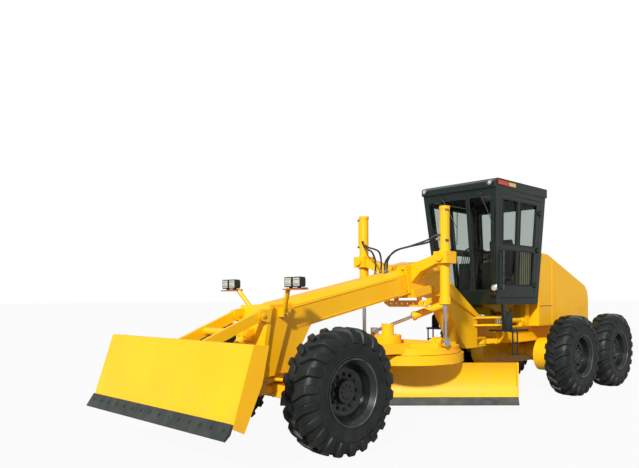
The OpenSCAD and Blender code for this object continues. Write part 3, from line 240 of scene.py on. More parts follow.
def dust_group():
    """How much road dust lies on a surface: more near the ground, in soft patches."""
    group, given, result = new_group(
        "road dust",
        [("Color", "NodeSocketColor", (0.5, 0.5, 0.5, 1)),
         ("Dust Color", "NodeSocketColor", (0.3, 0.24, 0.17, 1)),
         ("Amount", "NodeSocketFloat", 0.3), ("Top Height", "NodeSocketFloat", 1.4)],
        [("Color", "NodeSocketColor"), ("Mask", "NodeSocketFloat")])
    coordinates = group.nodes.new("ShaderNodeTexCoord")
    place = group.nodes.new("ShaderNodeNewGeometry")
    split = group.nodes.new("ShaderNodeSeparateXYZ")
    group.links.new(place.outputs["Position"], split.inputs["Vector"])
    low = group.nodes.new("ShaderNodeMapRange")
    low.inputs["From Min"].default_value = 0.0
    low.inputs["To Min"].default_value = 1.0
    low.inputs["To Max"].default_value = 0.0
    group.links.new(split.outputs["Z"], low.inputs["Value"])
    group.links.new(given.outputs["Top Height"], low.inputs["From Max"])
    patches = noise_node(group, 7.0, 6.0, coordinates)
    spread = group.nodes.new("ShaderNodeMapRange")
    spread.inputs["From Min"].default_value = 0.42
    spread.inputs["From Max"].default_value = 0.70
    group.links.new(patches.outputs["Fac"], spread.inputs["Value"])
    both = group.nodes.new("ShaderNodeMath")
    both.operation = "MULTIPLY"
    group.links.new(low.outputs["Result"], both.inputs[0])
    group.links.new(spread.outputs["Result"], both.inputs[1])
    amount = group.nodes.new("ShaderNodeMath")
    amount.operation = "MULTIPLY"
    group.links.new(both.outputs["Value"], amount.inputs[0])
    group.links.new(given.outputs["Amount"], amount.inputs[1])
    mix = group.nodes.new("ShaderNodeMix")
    mix.data_type = "RGBA"
    group.links.new(amount.outputs["Value"], mix.inputs["Factor"])
    group.links.new(given.outputs["Color"], mix.inputs["A"])
    group.links.new(given.outputs["Dust Color"], mix.inputs["B"])
    group.links.new(mix.outputs["Result"], result.inputs["Color"])
    group.links.new(amount.outputs["Value"], result.inputs["Mask"])
    return group


MOTTLE = mottle_group()
DUST = dust_group()


def material(name, color, second, scale=3.0, rough=(0.3, 0.5), metallic=0.0, coat=0.0, bump=0.05,
             grain=220.0, dust=0.0, dust_top=1.4, transmission=0.0, ior=1.5, specular=0.5):
    """A Principled material fed by the shared groups."""
    look = bpy.data.materials.new(name)
    look.use_nodes = True
    tree = look.node_tree
    shader = tree.nodes["Principled BSDF"]
    mottle = tree.nodes.new("ShaderNodeGroup")
    mottle.node_tree = MOTTLE
    for socket, value in (("Color", (*color, 1)), ("Second Color", (*second, 1)), ("Scale", scale),
                          ("Grain Scale", grain), ("Low Roughness", rough[0]), ("High Roughness", rough[1])):
        mottle.inputs[socket].default_value = value
    source = mottle.outputs["Color"]
    if dust:
        dirt = tree.nodes.new("ShaderNodeGroup")
        dirt.node_tree = DUST
        dirt.inputs["Amount"].default_value = dust
        dirt.inputs["Top Height"].default_value = dust_top
        tree.links.new(source, dirt.inputs["Color"])
        source = dirt.outputs["Color"]
    tree.links.new(source, shader.inputs["Base Color"])
    tree.links.new(mottle.outputs["Roughness"], shader.inputs["Roughness"])
    if bump:
        relief = tree.nodes.new("ShaderNodeBump")
        relief.inputs["Strength"].default_value = bump
        relief.inputs["Distance"].default_value = 0.002
        tree.links.new(mottle.outputs["Height"], relief.inputs["Height"])
        tree.links.new(relief.outputs["Normal"], shader.inputs["Normal"])
    shader.inputs["Metallic"].default_value = metallic
    shader.inputs["Coat Weight"].default_value = coat
    shader.inputs["Coat Roughness"].default_value = 0.12
    shader.inputs["Transmission Weight"].default_value = transmission
    shader.inputs["IOR"].default_value = ior
    shader.inputs["Specular IOR Level"].default_value = specular
    return look


YELLOW = material("yellow paint", (0.95, 0.510, 0.003), (0.93, 0.465, 0.002), 1.6, (0.30, 0.46), coat=0.15,
                  bump=0.03, dust=0.22, dust_top=1.0, specular=0.35)
DARK = material("dark green paint", (0.004, 0.012, 0.010), (0.006, 0.016, 0.013), 2.5, (0.22, 0.36),
                coat=0.3, bump=0.03, specular=0.4)
GLASS = material("window glass", (0.88, 0.94, 0.90), (0.86, 0.93, 0.89), 1.0, (0.01, 0.03),
                 transmission=1.0, ior=1.15, bump=0.0)
IRON = material("engine iron", (0.045, 0.045, 0.045), (0.028, 0.028, 0.028), 9.0, (0.5, 0.8), bump=0.2)
SEAT = material("seat cover", (0.014, 0.014, 0.016), (0.022, 0.022, 0.024), 14.0, (0.55, 0.75),
                bump=0.35, grain=420.0)
PLASTIC = material("console plastic", (0.012, 0.016, 0.015), (0.018, 0.022, 0.021), 6.0, (0.4, 0.55),
                   bump=0.2, grain=500.0)
BEIGE = material("beige lining", (0.62, 0.58, 0.38), (0.55, 0.51, 0.34), 5.0, (0.6, 0.8), bump=0.2)
HOSE = material("hose rubber", (0.008, 0.009, 0.009), (0.013, 0.014, 0.014), 20.0, (0.35, 0.5), bump=0.15)
CHROME = material("polished rod", (0.80, 0.80, 0.81), (0.70, 0.70, 0.71), 12.0, (0.08, 0.18),
                  metallic=1.0, bump=0.0)
STEEL = material("bolt steel", (0.30, 0.29, 0.27), (0.20, 0.19, 0.18), 30.0, (0.3, 0.5),
                 metallic=0.9, bump=0.1)
EDGE = material("edge steel", (0.024, 0.034, 0.032), (0.036, 0.046, 0.043), 5.0, (0.38, 0.62),
                metallic=0.2, bump=0.3, dust=0.15)
RIM = material("rim paint", (0.005, 0.008, 0.009), (0.010, 0.014, 0.015), 4.0, (0.22, 0.40),
               coat=0.3, bump=0.05, dust=0.08)
# Pale metal: the grab rails' own bright metal, and a painted highlight on the rims' lips.
FLANGE = material("bright metal and painted rim highlight", (0.16, 0.17, 0.17), (0.07, 0.08, 0.08), 9.0, (0.25, 0.45),
                  metallic=0.7, bump=0.05)
RUBBER = material("tyre rubber", (0.006, 0.010, 0.010), (0.011, 0.016, 0.016), 6.0, (0.38, 0.62),
                  bump=0.35, grain=160.0, dust=0.06, dust_top=1.6, specular=0.35)
# A darker orange-brown copy of the yellow paint, for the lamp shelves: painted shade.
SHADED_YELLOW = material("yellow paint with painted shade", (0.50, 0.12, 0.02), (0.42, 0.09, 0.012), 6.0, (0.4, 0.55),
                  bump=0.05)
LENS = material("lamp lens", (0.86, 0.86, 0.76), (0.52, 0.54, 0.46), 55.0, (0.08, 0.2), metallic=0.5,
                bump=0.3, grain=90.0)
RED = material("red marker", (0.62, 0.05, 0.015), (0.48, 0.03, 0.012), 30.0, (0.1, 0.2), coat=0.6, bump=0.1)
CREAM = material("cream plate", (0.80, 0.55, 0.18), (0.70, 0.44, 0.13), 8.0, (0.35, 0.5), bump=0.05)
# Black rubber for the seals and the floor mat; on the hood it is a strip of painted gap shade.
SEAL = material("black rubber and painted gap shade", (0.006, 0.007, 0.007), (0.010, 0.011, 0.011), 15.0, (0.5, 0.7), bump=0.1)

LOOK_OF_SLOT = {"yellow_paint": YELLOW, "dark_paint": DARK, "window_glass": GLASS, "engine_iron": IRON,
                "seat_cover": SEAT, "console_plastic": PLASTIC, "hose_rubber": HOSE, "polished_rod": CHROME,
                "edge_steel": EDGE, "rim_paint": RIM, "tyre_rubber": RUBBER}


def dress_nodes():
    """Gives every CAD node the look of its material slot."""
    slots = {part["node"]: part["material_slot"] for part in frame["record"]["subparts"]}
    for name, node in NODES.items():
        node.data.materials.clear()
        node.data.materials.append(LOOK_OF_SLOT[slots[name]])


dress_nodes()


# Tyres with lugs, and the rims' bolts
LUG_COUNT = 22
LUG_HEIGHT = 0.036
# The lugs start a little inside the tread, so they rise by this much more, almost to the full radius
LUG_ROOT = 0.0055
LUG_HALF_WIDTH = 0.050
TYRE_STEPS = 84


def tyre_profile():
    """Radius and place along the axis of the tyre's body, from bead to bead round the outside."""
    crown = TYRE_R - LUG_HEIGHT
    half = [(RIM_R + 0.002, 0.188), (RIM_R + 0.006, 0.202), (RIM_R + 0.020, 0.206), (RIM_R + 0.030, 0.199),
            (RIM_R + 0.060, 0.204), (RIM_R + 0.100, 0.209), (RIM_R + 0.140, 0.210), (RIM_R + 0.146, 0.206),
            (RIM_R + 0.190, 0.203), (RIM_R + 0.235, 0.190), (crown - 0.020, 0.162), (crown - 0.004, 0.110),
            (crown, 0.055), (crown, 0.0)]
    return half + [(r, -y) for r, y in half[-2::-1]]


def lug_rings(angle, sign):
    """One curved lug from the middle of the tread over the shoulder and down the side."""
    crown = TYRE_R - LUG_HEIGHT
    path = [(crown - 0.006, 0.008, 0.0, 1.0, 0.0, 0.80), (crown - 0.008, 0.060, 0.0, 1.0, 2.6, 0.92),
            (crown - 0.012, 0.120, 0.06, 1.0, 6.2, 1.0), (crown - 0.024, 0.160, 0.25, 0.97, 8.2, 1.06),
            (crown - 0.050, 0.184, 0.80, 0.60, 9.2, 1.08), (crown - 0.090, 0.194, 1.0, 0.15, 9.8, 1.0),
            (crown - 0.128, 0.203, 0.42, 0.0, 10.2, 0.86)]
    rings = []
    for radius, y, out_y, out_r, shift, wide in path:
        ring = []
        for share, edge in ((0.0, -1.0), (1.0, -0.72), (1.0, 0.72), (0.0, 1.0)):
            lift = (LUG_HEIGHT + LUG_ROOT) * share * (1.0 if out_y < 0.5 else 0.62)
            r = radius + lift * out_r
            around = math.radians(angle + shift) + edge * LUG_HALF_WIDTH * wide / r
            side = sign * min(y + lift * out_y, TYRE_W / 2 - 0.001)
            ring.append((r * math.cos(around), side, r * math.sin(around)))
        rings.append(ring)
    return rings


def make_tyre(place, side, x, sign):
    """One tyre in place of its CAD node."""
    centre = Vector((x, sign * WHEEL_Y, AXLE_Z))
    shape = Shape().lathe([(r, y) for r, y in tyre_profile()], centre, (0, 1, 0), TYRE_STEPS)
    step = 360 / LUG_COUNT
    for k in range(LUG_COUNT):
        for half, sign_y in ((0.0, 1), (0.5, -1)):
            rings = lug_rings((k + half) * step, sign_y)
            shape.loft([[centre + Vector(p) for p in ring] for ring in rings])
    tyre = shape.make("tyre_%s_%s" % (place, side), RUBBER, "wheel_%s_%s" % (place, side), bevel=0.005)
    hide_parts("tyre_%s_%s" % (place, side))


def make_wheel_bolts(place, side, x, sign):
    """Wheel nuts round the hub, the hub's cap bolts, and pale metal rings on the rim's lips that stand in
    for their highlights: painted highlight.
    """
    shape = Shape()
    for count, radius, y, size in ((12, 0.178, 0.068, 0.016), (8, 0.070, 0.096, 0.010)):
        for a in turn(count):
            place_of_nut = (x + radius * math.cos(a), sign * (WHEEL_Y + y), AXLE_Z + radius * math.sin(a))
            shape.bolt(place_of_nut, (0, sign, 0), size, size * 1.1)
    nuts = shape.make("wheel_nuts_%s_%s" % (place, side), RIM, "wheel_%s_%s" % (place, side))
    # Pale rings on both lips of the rim: a painted highlight.
    flange = Shape()
    edge = ((-0.012, 0.200), (-0.004, 0.203), (0.004, 0.2065), (0.001, 0.2085), (-0.010, 0.2045))
    for out in SIGNS:
        flange.lathe([(RIM_R + r, out * y) for r, y in edge], (x, sign * WHEEL_Y, AXLE_Z), (0, 1, 0), 72)
    ring = flange.make("rim_flange_%s_%s" % (place, side), FLANGE, "wheel_%s_%s" % (place, side), smooth=60)


for wheel in WHEELS:
    make_tyre(*wheel)
    make_wheel_bolts(*wheel)


# Work lamps on posts beside the nose
def make_work_lamps():
    """Posts, shelves and twin lamps in place of the plain CAD ones."""
    posts, shelves, housings, lenses, bulbs, nuts = Shape(), Shape(), Shape(), Shape(), Shape(), Shape()
    front, back, half, tall, middle = 0.240, 0.150, 0.064, 0.056, 1.822
    for sign in SIGNS:
        def at(x, y, z):
            return Vector((FRONT_X + x, sign * y, z))
        posts.block(*corners(at(0.060, 0.2303, 1.440), at(0.140, 0.305, 1.540)))
        posts.bar(at(0.100, 0.285, 1.500), at(0.188, 0.458, 1.744), 0.026, 20)
        shelves.block(*corners(at(0.142, 0.440, 1.738), at(0.250, 0.740, 1.752)))
        shelves.block(*corners(at(0.142, 0.440, 1.752), at(0.147, 0.740, 1.763)))
        for z in (1.462, 1.518):
            nuts.bolt(at(0.100, 0.305, z), (0, sign, 0), 0.012, 0.012)
        for y in (0.520, 0.660):
            rings = []
            for x, grow in ((back, 0.72), (back + 0.018, 0.96), (front - 0.012, 1.0), (front, 0.97)):
                rings.append(rounded_ring(at(x, y, middle), half * grow, tall * grow, 0.014))
            housings.loft(rings)
            housings.block(*corners(at(0.185, y - 0.012, 1.752), at(0.215, y + 0.012, 1.770)))
            lens = [rounded_ring(at(front + lift, y, middle), half * grow, tall * grow, 0.010)
                    for lift, grow in ((0.0005, 0.80), (0.005, 0.78), (0.007, 0.70))]
            lenses.loft(lens)
            for z in (middle - 0.024, middle + 0.024):
                bulbs.block(*corners(at(front + 0.006, y - 0.050, z - 0.002),
                                     at(front + 0.0085, y + 0.050, z + 0.002)))
    post = posts.make("lamp_posts", YELLOW, "front_frame", bevel=0.003)
    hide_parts("work_lamps")
    # The yellow shelves take the darker copy of their paint: painted shade.
    shelf = shelves.make("lamp_shelves", SHADED_YELLOW, "front_frame", bevel=0.001)
    housing = housings.make("lamp_housings", PLASTIC, "front_frame")
    lens = lenses.make("lamp_lenses", LENS, "front_frame")
    bars = bulbs.make("lamp_bars", PLASTIC, "front_frame")
    nut = nuts.make("lamp_post_bolts", STEEL, "front_frame")


def corners(a, b):
    """Low and high corner of the box between two points."""
    return [tuple(min(p, q) for p, q in zip(a, b)), tuple(max(p, q) for p, q in zip(a, b))]


def rounded_outline(half_u, half_v, radius, arc):
    """Points (u, v) of a rounded rectangle round the origin."""
    outline = []
    for cu, cv, start in ((1, 1, 0), (-1, 1, 90), (-1, -1, 180), (1, -1, 270)):
        for k in range(arc + 1):
            a = math.radians(start + 90 * k / arc)
            outline.append((cu * (half_u - radius) + radius * math.cos(a),
                            cv * (half_v - radius) + radius * math.sin(a)))
    return outline


def rounded_ring(centre, half_y, half_z, radius):
    """Points of a rounded rectangle that faces forward."""
    return [centre + Vector((0, y, z)) for y, z in rounded_outline(half_y, half_z, radius, 4)]


def rounded_flat(x, y, z, half_x, half_y):
    """Points of a level rounded rectangle."""
    return [Vector((x + u, y + v, z)) for u, v in rounded_outline(half_x, half_y, 0.03, 3)]


make_work_lamps()

# Cab: seals, lamps, wipers and marker plates
CAB_Z0 = 1.540
CAB_Z1 = 3.330
# Panes of a door: share of the cab's length from and to, height from and to
DOOR_PANES = ((0.17, 0.52, 2.480, 3.180), (0.57, 0.87, 2.480, 3.180), (0.17, 0.52, 1.840, 2.400),
              (0.57, 0.87, 1.840, 2.400))


def cab_half(z):
    """Half width of the cab at a height."""
    return 0.567 + 0.128 * (z - CAB_Z0) / (CAB_Z1 - CAB_Z0)


def cab_front(z):
    """Front face of the cab at a height."""
    return FRONT_X - 3.885 + 0.209 * (z - CAB_Z0) / (CAB_Z1 - CAB_Z0)


def cab_rear(z):
    """Rear face of the cab at a height."""
    return FRONT_X - 5.190 - 0.050 * (z - CAB_Z0) / (CAB_Z1 - CAB_Z0)


def on_cab_side(share, z, sign, out=0.0):
    """A point on the cab's side wall, by its share of the length."""
    x = cab_rear(z) + (cab_front(z) - cab_rear(z)) * share
    return Vector((x, sign * (cab_half(z) + out), z))


def on_cab_front(y, z, out=0.0):
    """A point on the cab's front wall."""
    return Vector((cab_front(z) + out, y, z))


def on_cab_rear(y, z, out=0.0):
    """A point on the cab's rear wall."""
    return Vector((cab_rear(z) - out, y, z))


def seal_round(shape, points, out, width=0.016, thick=0.006, lap=0.004):
    """A flat seal lapped over the edge of an opening, as a closed strip."""
    count = len(points)
    rings = []
    for k in range(count + 1):
        p = points[k % count]
        step = (points[(k + 1) % count] - p).normalized() + (points[k - 1 if k else -1] - p).normalized()
        outer = p - step * lap
        inner = p + step * width
        rings.append([outer - out * 0.010, outer + out * thick, inner + out * thick, inner - out * 0.010])
    return shape.loft(rings, closed_ends=False)


def make_cab_seals():
    """Rubber seals round every pane."""
    for side, sign in SIDES:
        shape = Shape()
        out = Vector((0, sign, -0.0713)).normalized()
        for s0, s1, z0, z1 in DOOR_PANES:
            shape_points = [on_cab_side(s0, z0, sign), on_cab_side(s1, z0, sign), on_cab_side(s1, z1, sign),
                            on_cab_side(s0, z1, sign)]
            seal_round(shape, shape_points, out)
        seal = shape.make("door_seals_" + side, SEAL, "door_" + side)
    shape = Shape()
    out = Vector((1, 0, -0.117)).normalized()
    for y0, y1 in ((-1, 0.150), (0.190, 1)):
        z0, z1 = 1.760, 3.220
        low = [y * cab_half(z0) * 0.88 if abs(y) == 1 else y for y in (y0, y1)]
        top = [y * cab_half(z1) * 0.88 if abs(y) == 1 else y for y in (y0, y1)]
        seal_round(shape, [on_cab_front(low[0], z0), on_cab_front(low[1], z0), on_cab_front(top[1], z1),
                           on_cab_front(top[0], z1)], out)
    z0, z1 = 2.480, 3.180
    low, top = cab_half(z0) * 0.85, cab_half(z1) * 0.85
    seal_round(shape, [on_cab_rear(y, z) for y, z in ((-low, z0), (low, z0), (top, z1), (-top, z1))],
               Vector((-1, 0, 0)))
    seal = shape.make("cab_seals", SEAL, "rear_frame")


def make_cab_fittings():
    """Lamps, wipers, marker plates and roof studs of the cab."""
    dark, chrome, lens, marker, cream, arm = Shape(), Shape(), Shape(), Shape(), Shape(), Shape()
    roof_x1 = FRONT_X - 3.630
    roof_x0 = roof_x1 - 1.630
    for sign in SIGNS:
        # Round lamp at the roof's front corner
        eye = Vector((roof_x1 + 0.012, sign * 0.625, 3.398))
        chrome.lathe([(0.036, 0.0), (0.045, 0.004), (0.045, 0.018), (0.038, 0.020), (0.036, 0.010)], eye,
                     (1, 0, 0), 28)
        lens.lathe([(0.0, 0.016), (0.020, 0.015), (0.037, 0.010), (0.037, 0.004), (0.0, 0.004)], eye,
                   (1, 0, 0), 28)
        # Lamp on a bracket at the floor's front corner
        foot = Vector((cab_front(1.715) + 0.060, sign * 0.585, 1.800))
        dark.bar(foot + Vector((0, 0, -0.110)), foot + Vector((0, 0, -0.030)), 0.012)
        aim = (1, 0.25 * sign, 0)
        dark.lathe([(0.0, -0.045), (0.030, -0.040), (0.044, -0.010), (0.048, 0.022), (0.042, 0.022),
                    (0.036, 0.0), (0.0, -0.020)], foot, aim, 30)
        chrome.lathe([(0.040, 0.020), (0.049, 0.022), (0.049, 0.034), (0.038, 0.038)], foot, aim, 30)
        lens.lathe([(0.0, 0.032), (0.022, 0.030), (0.041, 0.024), (0.041, 0.016), (0.0, 0.012)], foot,
                   aim, 30)
        # Plain plates on the roof's side, and two studs on its top
        marker.block(*corners((roof_x1 - 0.40, sign * 0.7005, 3.375), (roof_x1 - 0.10, sign * 0.716, 3.440)))
        cream.block(*corners((roof_x1 - 0.60, sign * 0.7065, 3.378), (roof_x1 - 0.42, sign * 0.716, 3.436)))
        for x in (roof_x0 + 0.06, roof_x1 - 0.20):
            dark.bar((x, sign * 0.690, 3.466), (x, sign * 0.690, 3.473), 0.014)
    for y, tip in ((-0.30, 0.20), (0.42, 0.62)):
        base = on_cab_front(y, 3.250, 0.020)
        end = on_cab_front(tip if y > 0 else -0.05, 2.760, 0.026)
        dark.bar(base - Vector((0.02, 0, 0)), base + Vector((0.006, 0, 0)), 0.020)
        arm.bar(base, end, 0.006, 8)
        low, top = on_cab_front(end.y - 0.03, 2.50, 0.018), on_cab_front(end.y + 0.02, 3.02, 0.018)
        arm.bar(low, top, 0.007, 8)
    for shape, name, look, slot in ((dark, "cab_fittings", PLASTIC, "dark_paint"),
                                    (chrome, "lamp_rims", CHROME, "polished_rod"),
                                    (lens, "cab_lamp_lenses", LENS, "window_glass"),
                                    (marker, "roof_markers", RED, "dark_paint"),
                                    (cream, "roof_plates", CREAM, "dark_paint"),
                                    (arm, "wipers", PLASTIC, "dark_paint")):
        shape.make(name, look, "rear_frame")


make_cab_seals()
make_cab_fittings()


# Hood: a dark strip of painted gap shade, and bolts
HOOD_FRONT = FRONT_X - 5.275
HOOD_Y = 0.550
HOOD_REAR_X = -4.226


def make_hood_details():
    """A dark strip of painted shade along the hood's side, and rows of bolts on the hood."""
    gap_shade, fasteners = Shape(), Shape()
    for sign in SIGNS:
        face = sign * HOOD_Y
        for z in (1.215, 1.490):
            for k in range(9):
                fasteners.bolt((HOOD_FRONT - 0.09 - 0.20 * k, face, z), (0, sign, 0), 0.010, 0.008)
        for k in range(5):
            fasteners.bolt((HOOD_FRONT - 0.035, face, 1.60 + 0.18 * k), (0, sign, 0), 0.010, 0.008)
        # A dark strip over the rim on the hood's side, where a gap's shadow falls: painted shade.
        gap_shade.block(*corners((HOOD_FRONT - 0.470, face, 1.505),
                             (HOOD_FRONT - 0.020, face + sign * 0.007, 1.511)))
        for k in range(6):
            fasteners.bolt((HOOD_REAR_X, sign * 0.46, 1.26 + 0.10 * k), (-1, 0, 0), 0.010, 0.008)
    for shape, name, look, slot in ((gap_shade, "hood_gap_shade", SEAL, "hose_rubber"),
                                    (fasteners, "hood_fasteners", YELLOW, "yellow_paint")):
        shape.make(name, look, "rear_frame")


# Beam and nose: laps and bolts
BEAM_FRONT = Vector((FRONT_X + 0.100, 0.0, 1.596))
BEAM_SLOPE = math.radians(11.4)
BEAM_BACK = Vector((-math.cos(BEAM_SLOPE), 0.0, math.sin(BEAM_SLOPE)))
BEAM_UP = Vector((math.sin(BEAM_SLOPE), 0.0, math.cos(BEAM_SLOPE)))


def on_beam(back, y, down):
    """A point of the beam by its distance back along the top, its side place and its depth."""
    return BEAM_FRONT + BEAM_BACK * back - BEAM_UP * down + Vector((0, y, 0))


def make_front_frame_details():
    """Lap plates and bolts along the beam and nose."""
    laps, fasteners = Shape(), Shape()
    for sign in SIGNS:
        face = sign * 0.180
        for down in (0.086, 0.318):
            laps.loft([[on_beam(back, face, down), on_beam(back, face + sign * 0.007, down + 0.003),
                        on_beam(back, face + sign * 0.007, down + 0.011), on_beam(back, face, down + 0.014)]
                       for back in (0.20, 2.05)])
        for k in range(5):
            fasteners.bolt(on_beam(2.16 + 0.035, sign * 0.225, 0.02 + 0.055 * k), (0, sign, 0), 0.011, 0.011)
        # Bolt heads at the ends of the dozer's pins in the nose
        for x, z in ((0.495, 0.860), (0.390, 1.460)):
            for y in (0.169, 0.291):
                out = 1 if y > 0.2 else -1
                fasteners.bolt((FRONT_X + x, sign * (y + out * 0.002), z), (0, sign * out, 0), 0.020, 0.012)
    for shape, name, look, slot in ((laps, "beam_laps", YELLOW, "yellow_paint"),
                                    (fasteners, "front_frame_bolts", YELLOW, "yellow_paint")):
        shape.make(name, look, "front_frame")


# Blades: bolts along the cutting edges
def blade_point(x, y, z):
    """A point given in the circle's own turned directions."""
    a = math.radians(BLADE_ANGLE)
    return CIRCLE + Vector((x * math.cos(a) - y * math.sin(a), x * math.sin(a) + y * math.cos(a), z))


def make_blade_bolts():
    """Plough bolts along both cutting edges."""
    fasteners = Shape()
    a = math.radians(BLADE_ANGLE)
    out = Vector((math.cos(a) * 0.86, math.sin(a) * 0.86, 0.5))
    for k in range(22):
        y = -0.130 - 1.60 + 3.20 * k / 21
        for low in (0.030, 0.068):
            share = low / 0.100
            fasteners.bolt(blade_point(0.234 + 0.060 * share, y, 0.255 - low), out, 0.011, 0.006)
    bolts = fasteners.make("mouldboard_bolts", EDGE, "mouldboard")
    row = Shape()
    for k in range(15):
        y = -1.26 + 2.52 * k / 14
        row.bolt((FRONT_X + 1.566, y, 0.538), (0.83, 0, 0.56), 0.016, 0.008)
    bolts = row.make("dozer_edge_bolts", EDGE, "dozer_blade")


# Hoses with fittings, in place of the plain CAD hoses
HOSE_ROUTES = (
    ((-1.900, 0.060, 2.003), (-1.910, 0.060, 2.160), (-1.960, 0.140, 2.290), (-2.060, 0.320, 2.350),
     (-2.160, 0.520, 2.390), (-2.217, 0.656, 2.436), (-2.246, 0.694, 2.440)),
    ((-1.820, 0.090, 1.9862), (-1.830, 0.095, 2.150), (-1.900, 0.220, 2.290), (-2.000, 0.400, 2.350),
     (-2.110, 0.580, 2.420), (-2.184, 0.687, 2.486), (-2.228, 0.713, 2.490)),
)


def make_hoses():
    """Smooth hoses with crimped ends."""
    hoses, ends = Shape(), Shape()
    for sign in SIGNS:
        for route in HOSE_ROUTES:
            path = [Vector((FRONT_X + x, sign * y, z)) for x, y, z in route]
            hoses.tube(path, 0.013, 12, 8)
            for a, b in ((path[0], path[1]), (path[-1], path[-2])):
                along = (b - a).normalized()
                ends.bar(a - along * 0.004, a + along * 0.045, 0.0165, 12)
                ends.bar(a - along * 0.010, a + along * 0.012, 0.021, 6)
    hose = hoses.make("lift_hoses", HOSE, "front_frame")
    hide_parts("hoses")
    ends.make("hose_ends", STEEL, "front_frame")


# Drawbar: bolts of the gear case, its motor and the plate
def make_circle_details():
    """Bolts on the gear case, its motor's flange and the drawbar's plate over the circle."""
    fasteners = Shape()
    motor = CIRCLE + Vector((0.430, 0, 0))
    for a in turn(12):
        edge = Vector((math.cos(a), math.sin(a), 0))
        fasteners.bolt(motor + edge * 0.168 + Vector((0, 0, 1.136)), (0, 0, 1), 0.010, 0.010)
    for a in turn(6):
        edge = Vector((math.cos(a), math.sin(a), 0))
        fasteners.bolt(motor + edge * 0.070 + Vector((0, 0, 1.286)), (0, 0, 1), 0.007, 0.008)
    for a in turn(24):
        edge = Vector((math.cos(a), math.sin(a), 0))
        fasteners.bolt(CIRCLE + edge * 0.690 + Vector((0, 0, 0.916)), (0, 0, 1), 0.010, 0.009)
    fasteners.make("drawbar_bolts", YELLOW, "drawbar")


def make_tandem_details():
    """Covers and bolts on the tandem cases."""
    covers, fasteners = Shape(), Shape()
    for sign in SIGNS:
        for x in (MID_X, REAR_X):
            centre = (x, sign * 0.760, AXLE_Z)
            covers.lathe([(0.150, 0.0), (0.150, 0.010), (0.190, 0.010), (0.205, 0.0)], centre,
                         (0, sign, 0), 40)
            for a in turn(10):
                place = (x + 0.172 * math.cos(a), sign * 0.770, AXLE_Z + 0.172 * math.sin(a))
                fasteners.bolt(place, (0, sign, 0), 0.011, 0.009)
        for k in range(7):
            fasteners.bolt((MID_X - 0.25 - 0.17 * k, sign * 0.63, AXLE_Z + 0.280), (0, 0, 1), 0.012, 0.009)
    covers.make("tandem_covers", YELLOW, "rear_frame")
    fasteners.make("tandem_bolts", YELLOW, "rear_frame")


def make_rear_details():
    """Tail lamps on the rear beam, and the radiator's core behind the louvres."""
    housings, lenses, core = Shape(), Shape(), Shape()
    beam_x = -4.436
    for sign in SIGNS:
        housings.block(*corners((beam_x - 0.020, sign * 0.360, 1.040), (beam_x, sign * 0.500, 1.130)))
        for y in (0.396, 0.464):
            centre = (beam_x - 0.019, sign * y, 1.085)
            housings.lathe([(0.026, 0.0), (0.033, 0.0), (0.032, 0.008), (0.027, 0.008)], centre,
                           (-1, 0, 0), 24)
            lenses.lathe([(0.0, 0.010), (0.014, 0.009), (0.0265, 0.004), (0.0265, 0.0), (0.0, 0.0)], centre,
                         (-1, 0, 0), 24)
    for k in range(40):
        y = -0.400 + 0.800 * k / 39
        core.block((-4.197, y - 0.003, 1.215), (-4.187, y + 0.003, 1.600))
    core.block((-4.187, -0.405, 1.210), (-4.180, 0.405, 1.605))
    for shape, name, look, slot in ((housings, "tail_lamp_housings", PLASTIC, "dark_paint"),
                                    (lenses, "tail_lamp_lenses", RED, "dark_paint"),
                                    (core, "radiator_core", IRON, "engine_iron")):
        shape.make(name, look, "rear_frame")


def make_step_grips():
    """Raised round grips on both steps and their plates' bolts."""
    grips = Shape()
    rear_x, inner_y, plate_z = -1.350, 0.470, 1.149
    for sign in SIGNS:
        for i in range(9):
            for k in range(6):
                if i > 5 and k < 4:
                    continue
                x, y = rear_x + 0.052 * i, sign * (inner_y + 0.064 * k)
                grips.bar((x, y, plate_z), (x, y, 1.154), 0.012, 12, 0.009)
        for z in (1.20, 1.30):
            grips.bolt((-1.060, sign * 0.720, z), (0, sign, 0), 0.010, 0.008)
    grips.make("step_grips", DARK, "rear_frame")


def make_rails_and_glands():
    """Bright grab rails on the doors, and gland rings, bolts and hose ports on the lift barrels."""
    for side, sign in SIDES:
        low, top = (on_cab_side(0.9, z, sign, 0.045) for z in (1.776, 2.384))
        rail = Shape().bar(low, top, 0.0125)
        rail.make("grab_rail_" + side, FLANGE, "door_" + side)
    glands = Shape()
    for sign in SIGNS:
        foot = Vector((FRONT_X - 2.290, sign * 0.750, 1.560))
        glands.lathe([(0.031, -0.014), (0.044, -0.014), (0.048, -0.008), (0.048, 0.001), (0.031, 0.001)],
                     foot, (0, 0, 1), 32)
        for a in turn(8):
            place = foot + Vector((0.066 * math.cos(a), 0.066 * math.sin(a), 0))
            glands.bolt(place, (0, 0, -1), 0.009, 0.009)
        for z in (2.420, 2.820):
            port = Vector((FRONT_X - 2.250, sign * 0.814, z))
            glands.bar(port - Vector((0.022, 0, 0)), port + Vector((0.018, 0, 0)), 0.018, 6)
    glands.make("cylinder_glands", STEEL, "front_frame")


for build in (make_hood_details, make_front_frame_details, make_blade_bolts, make_hoses, make_circle_details,
              make_tandem_details, make_rear_details, make_step_grips, make_rails_and_glands):
    build()


# Cab interior: padded seat, lined rear wall and floor mat
SEAT_X = FRONT_X - 4.750
FLOOR_Z = 1.600


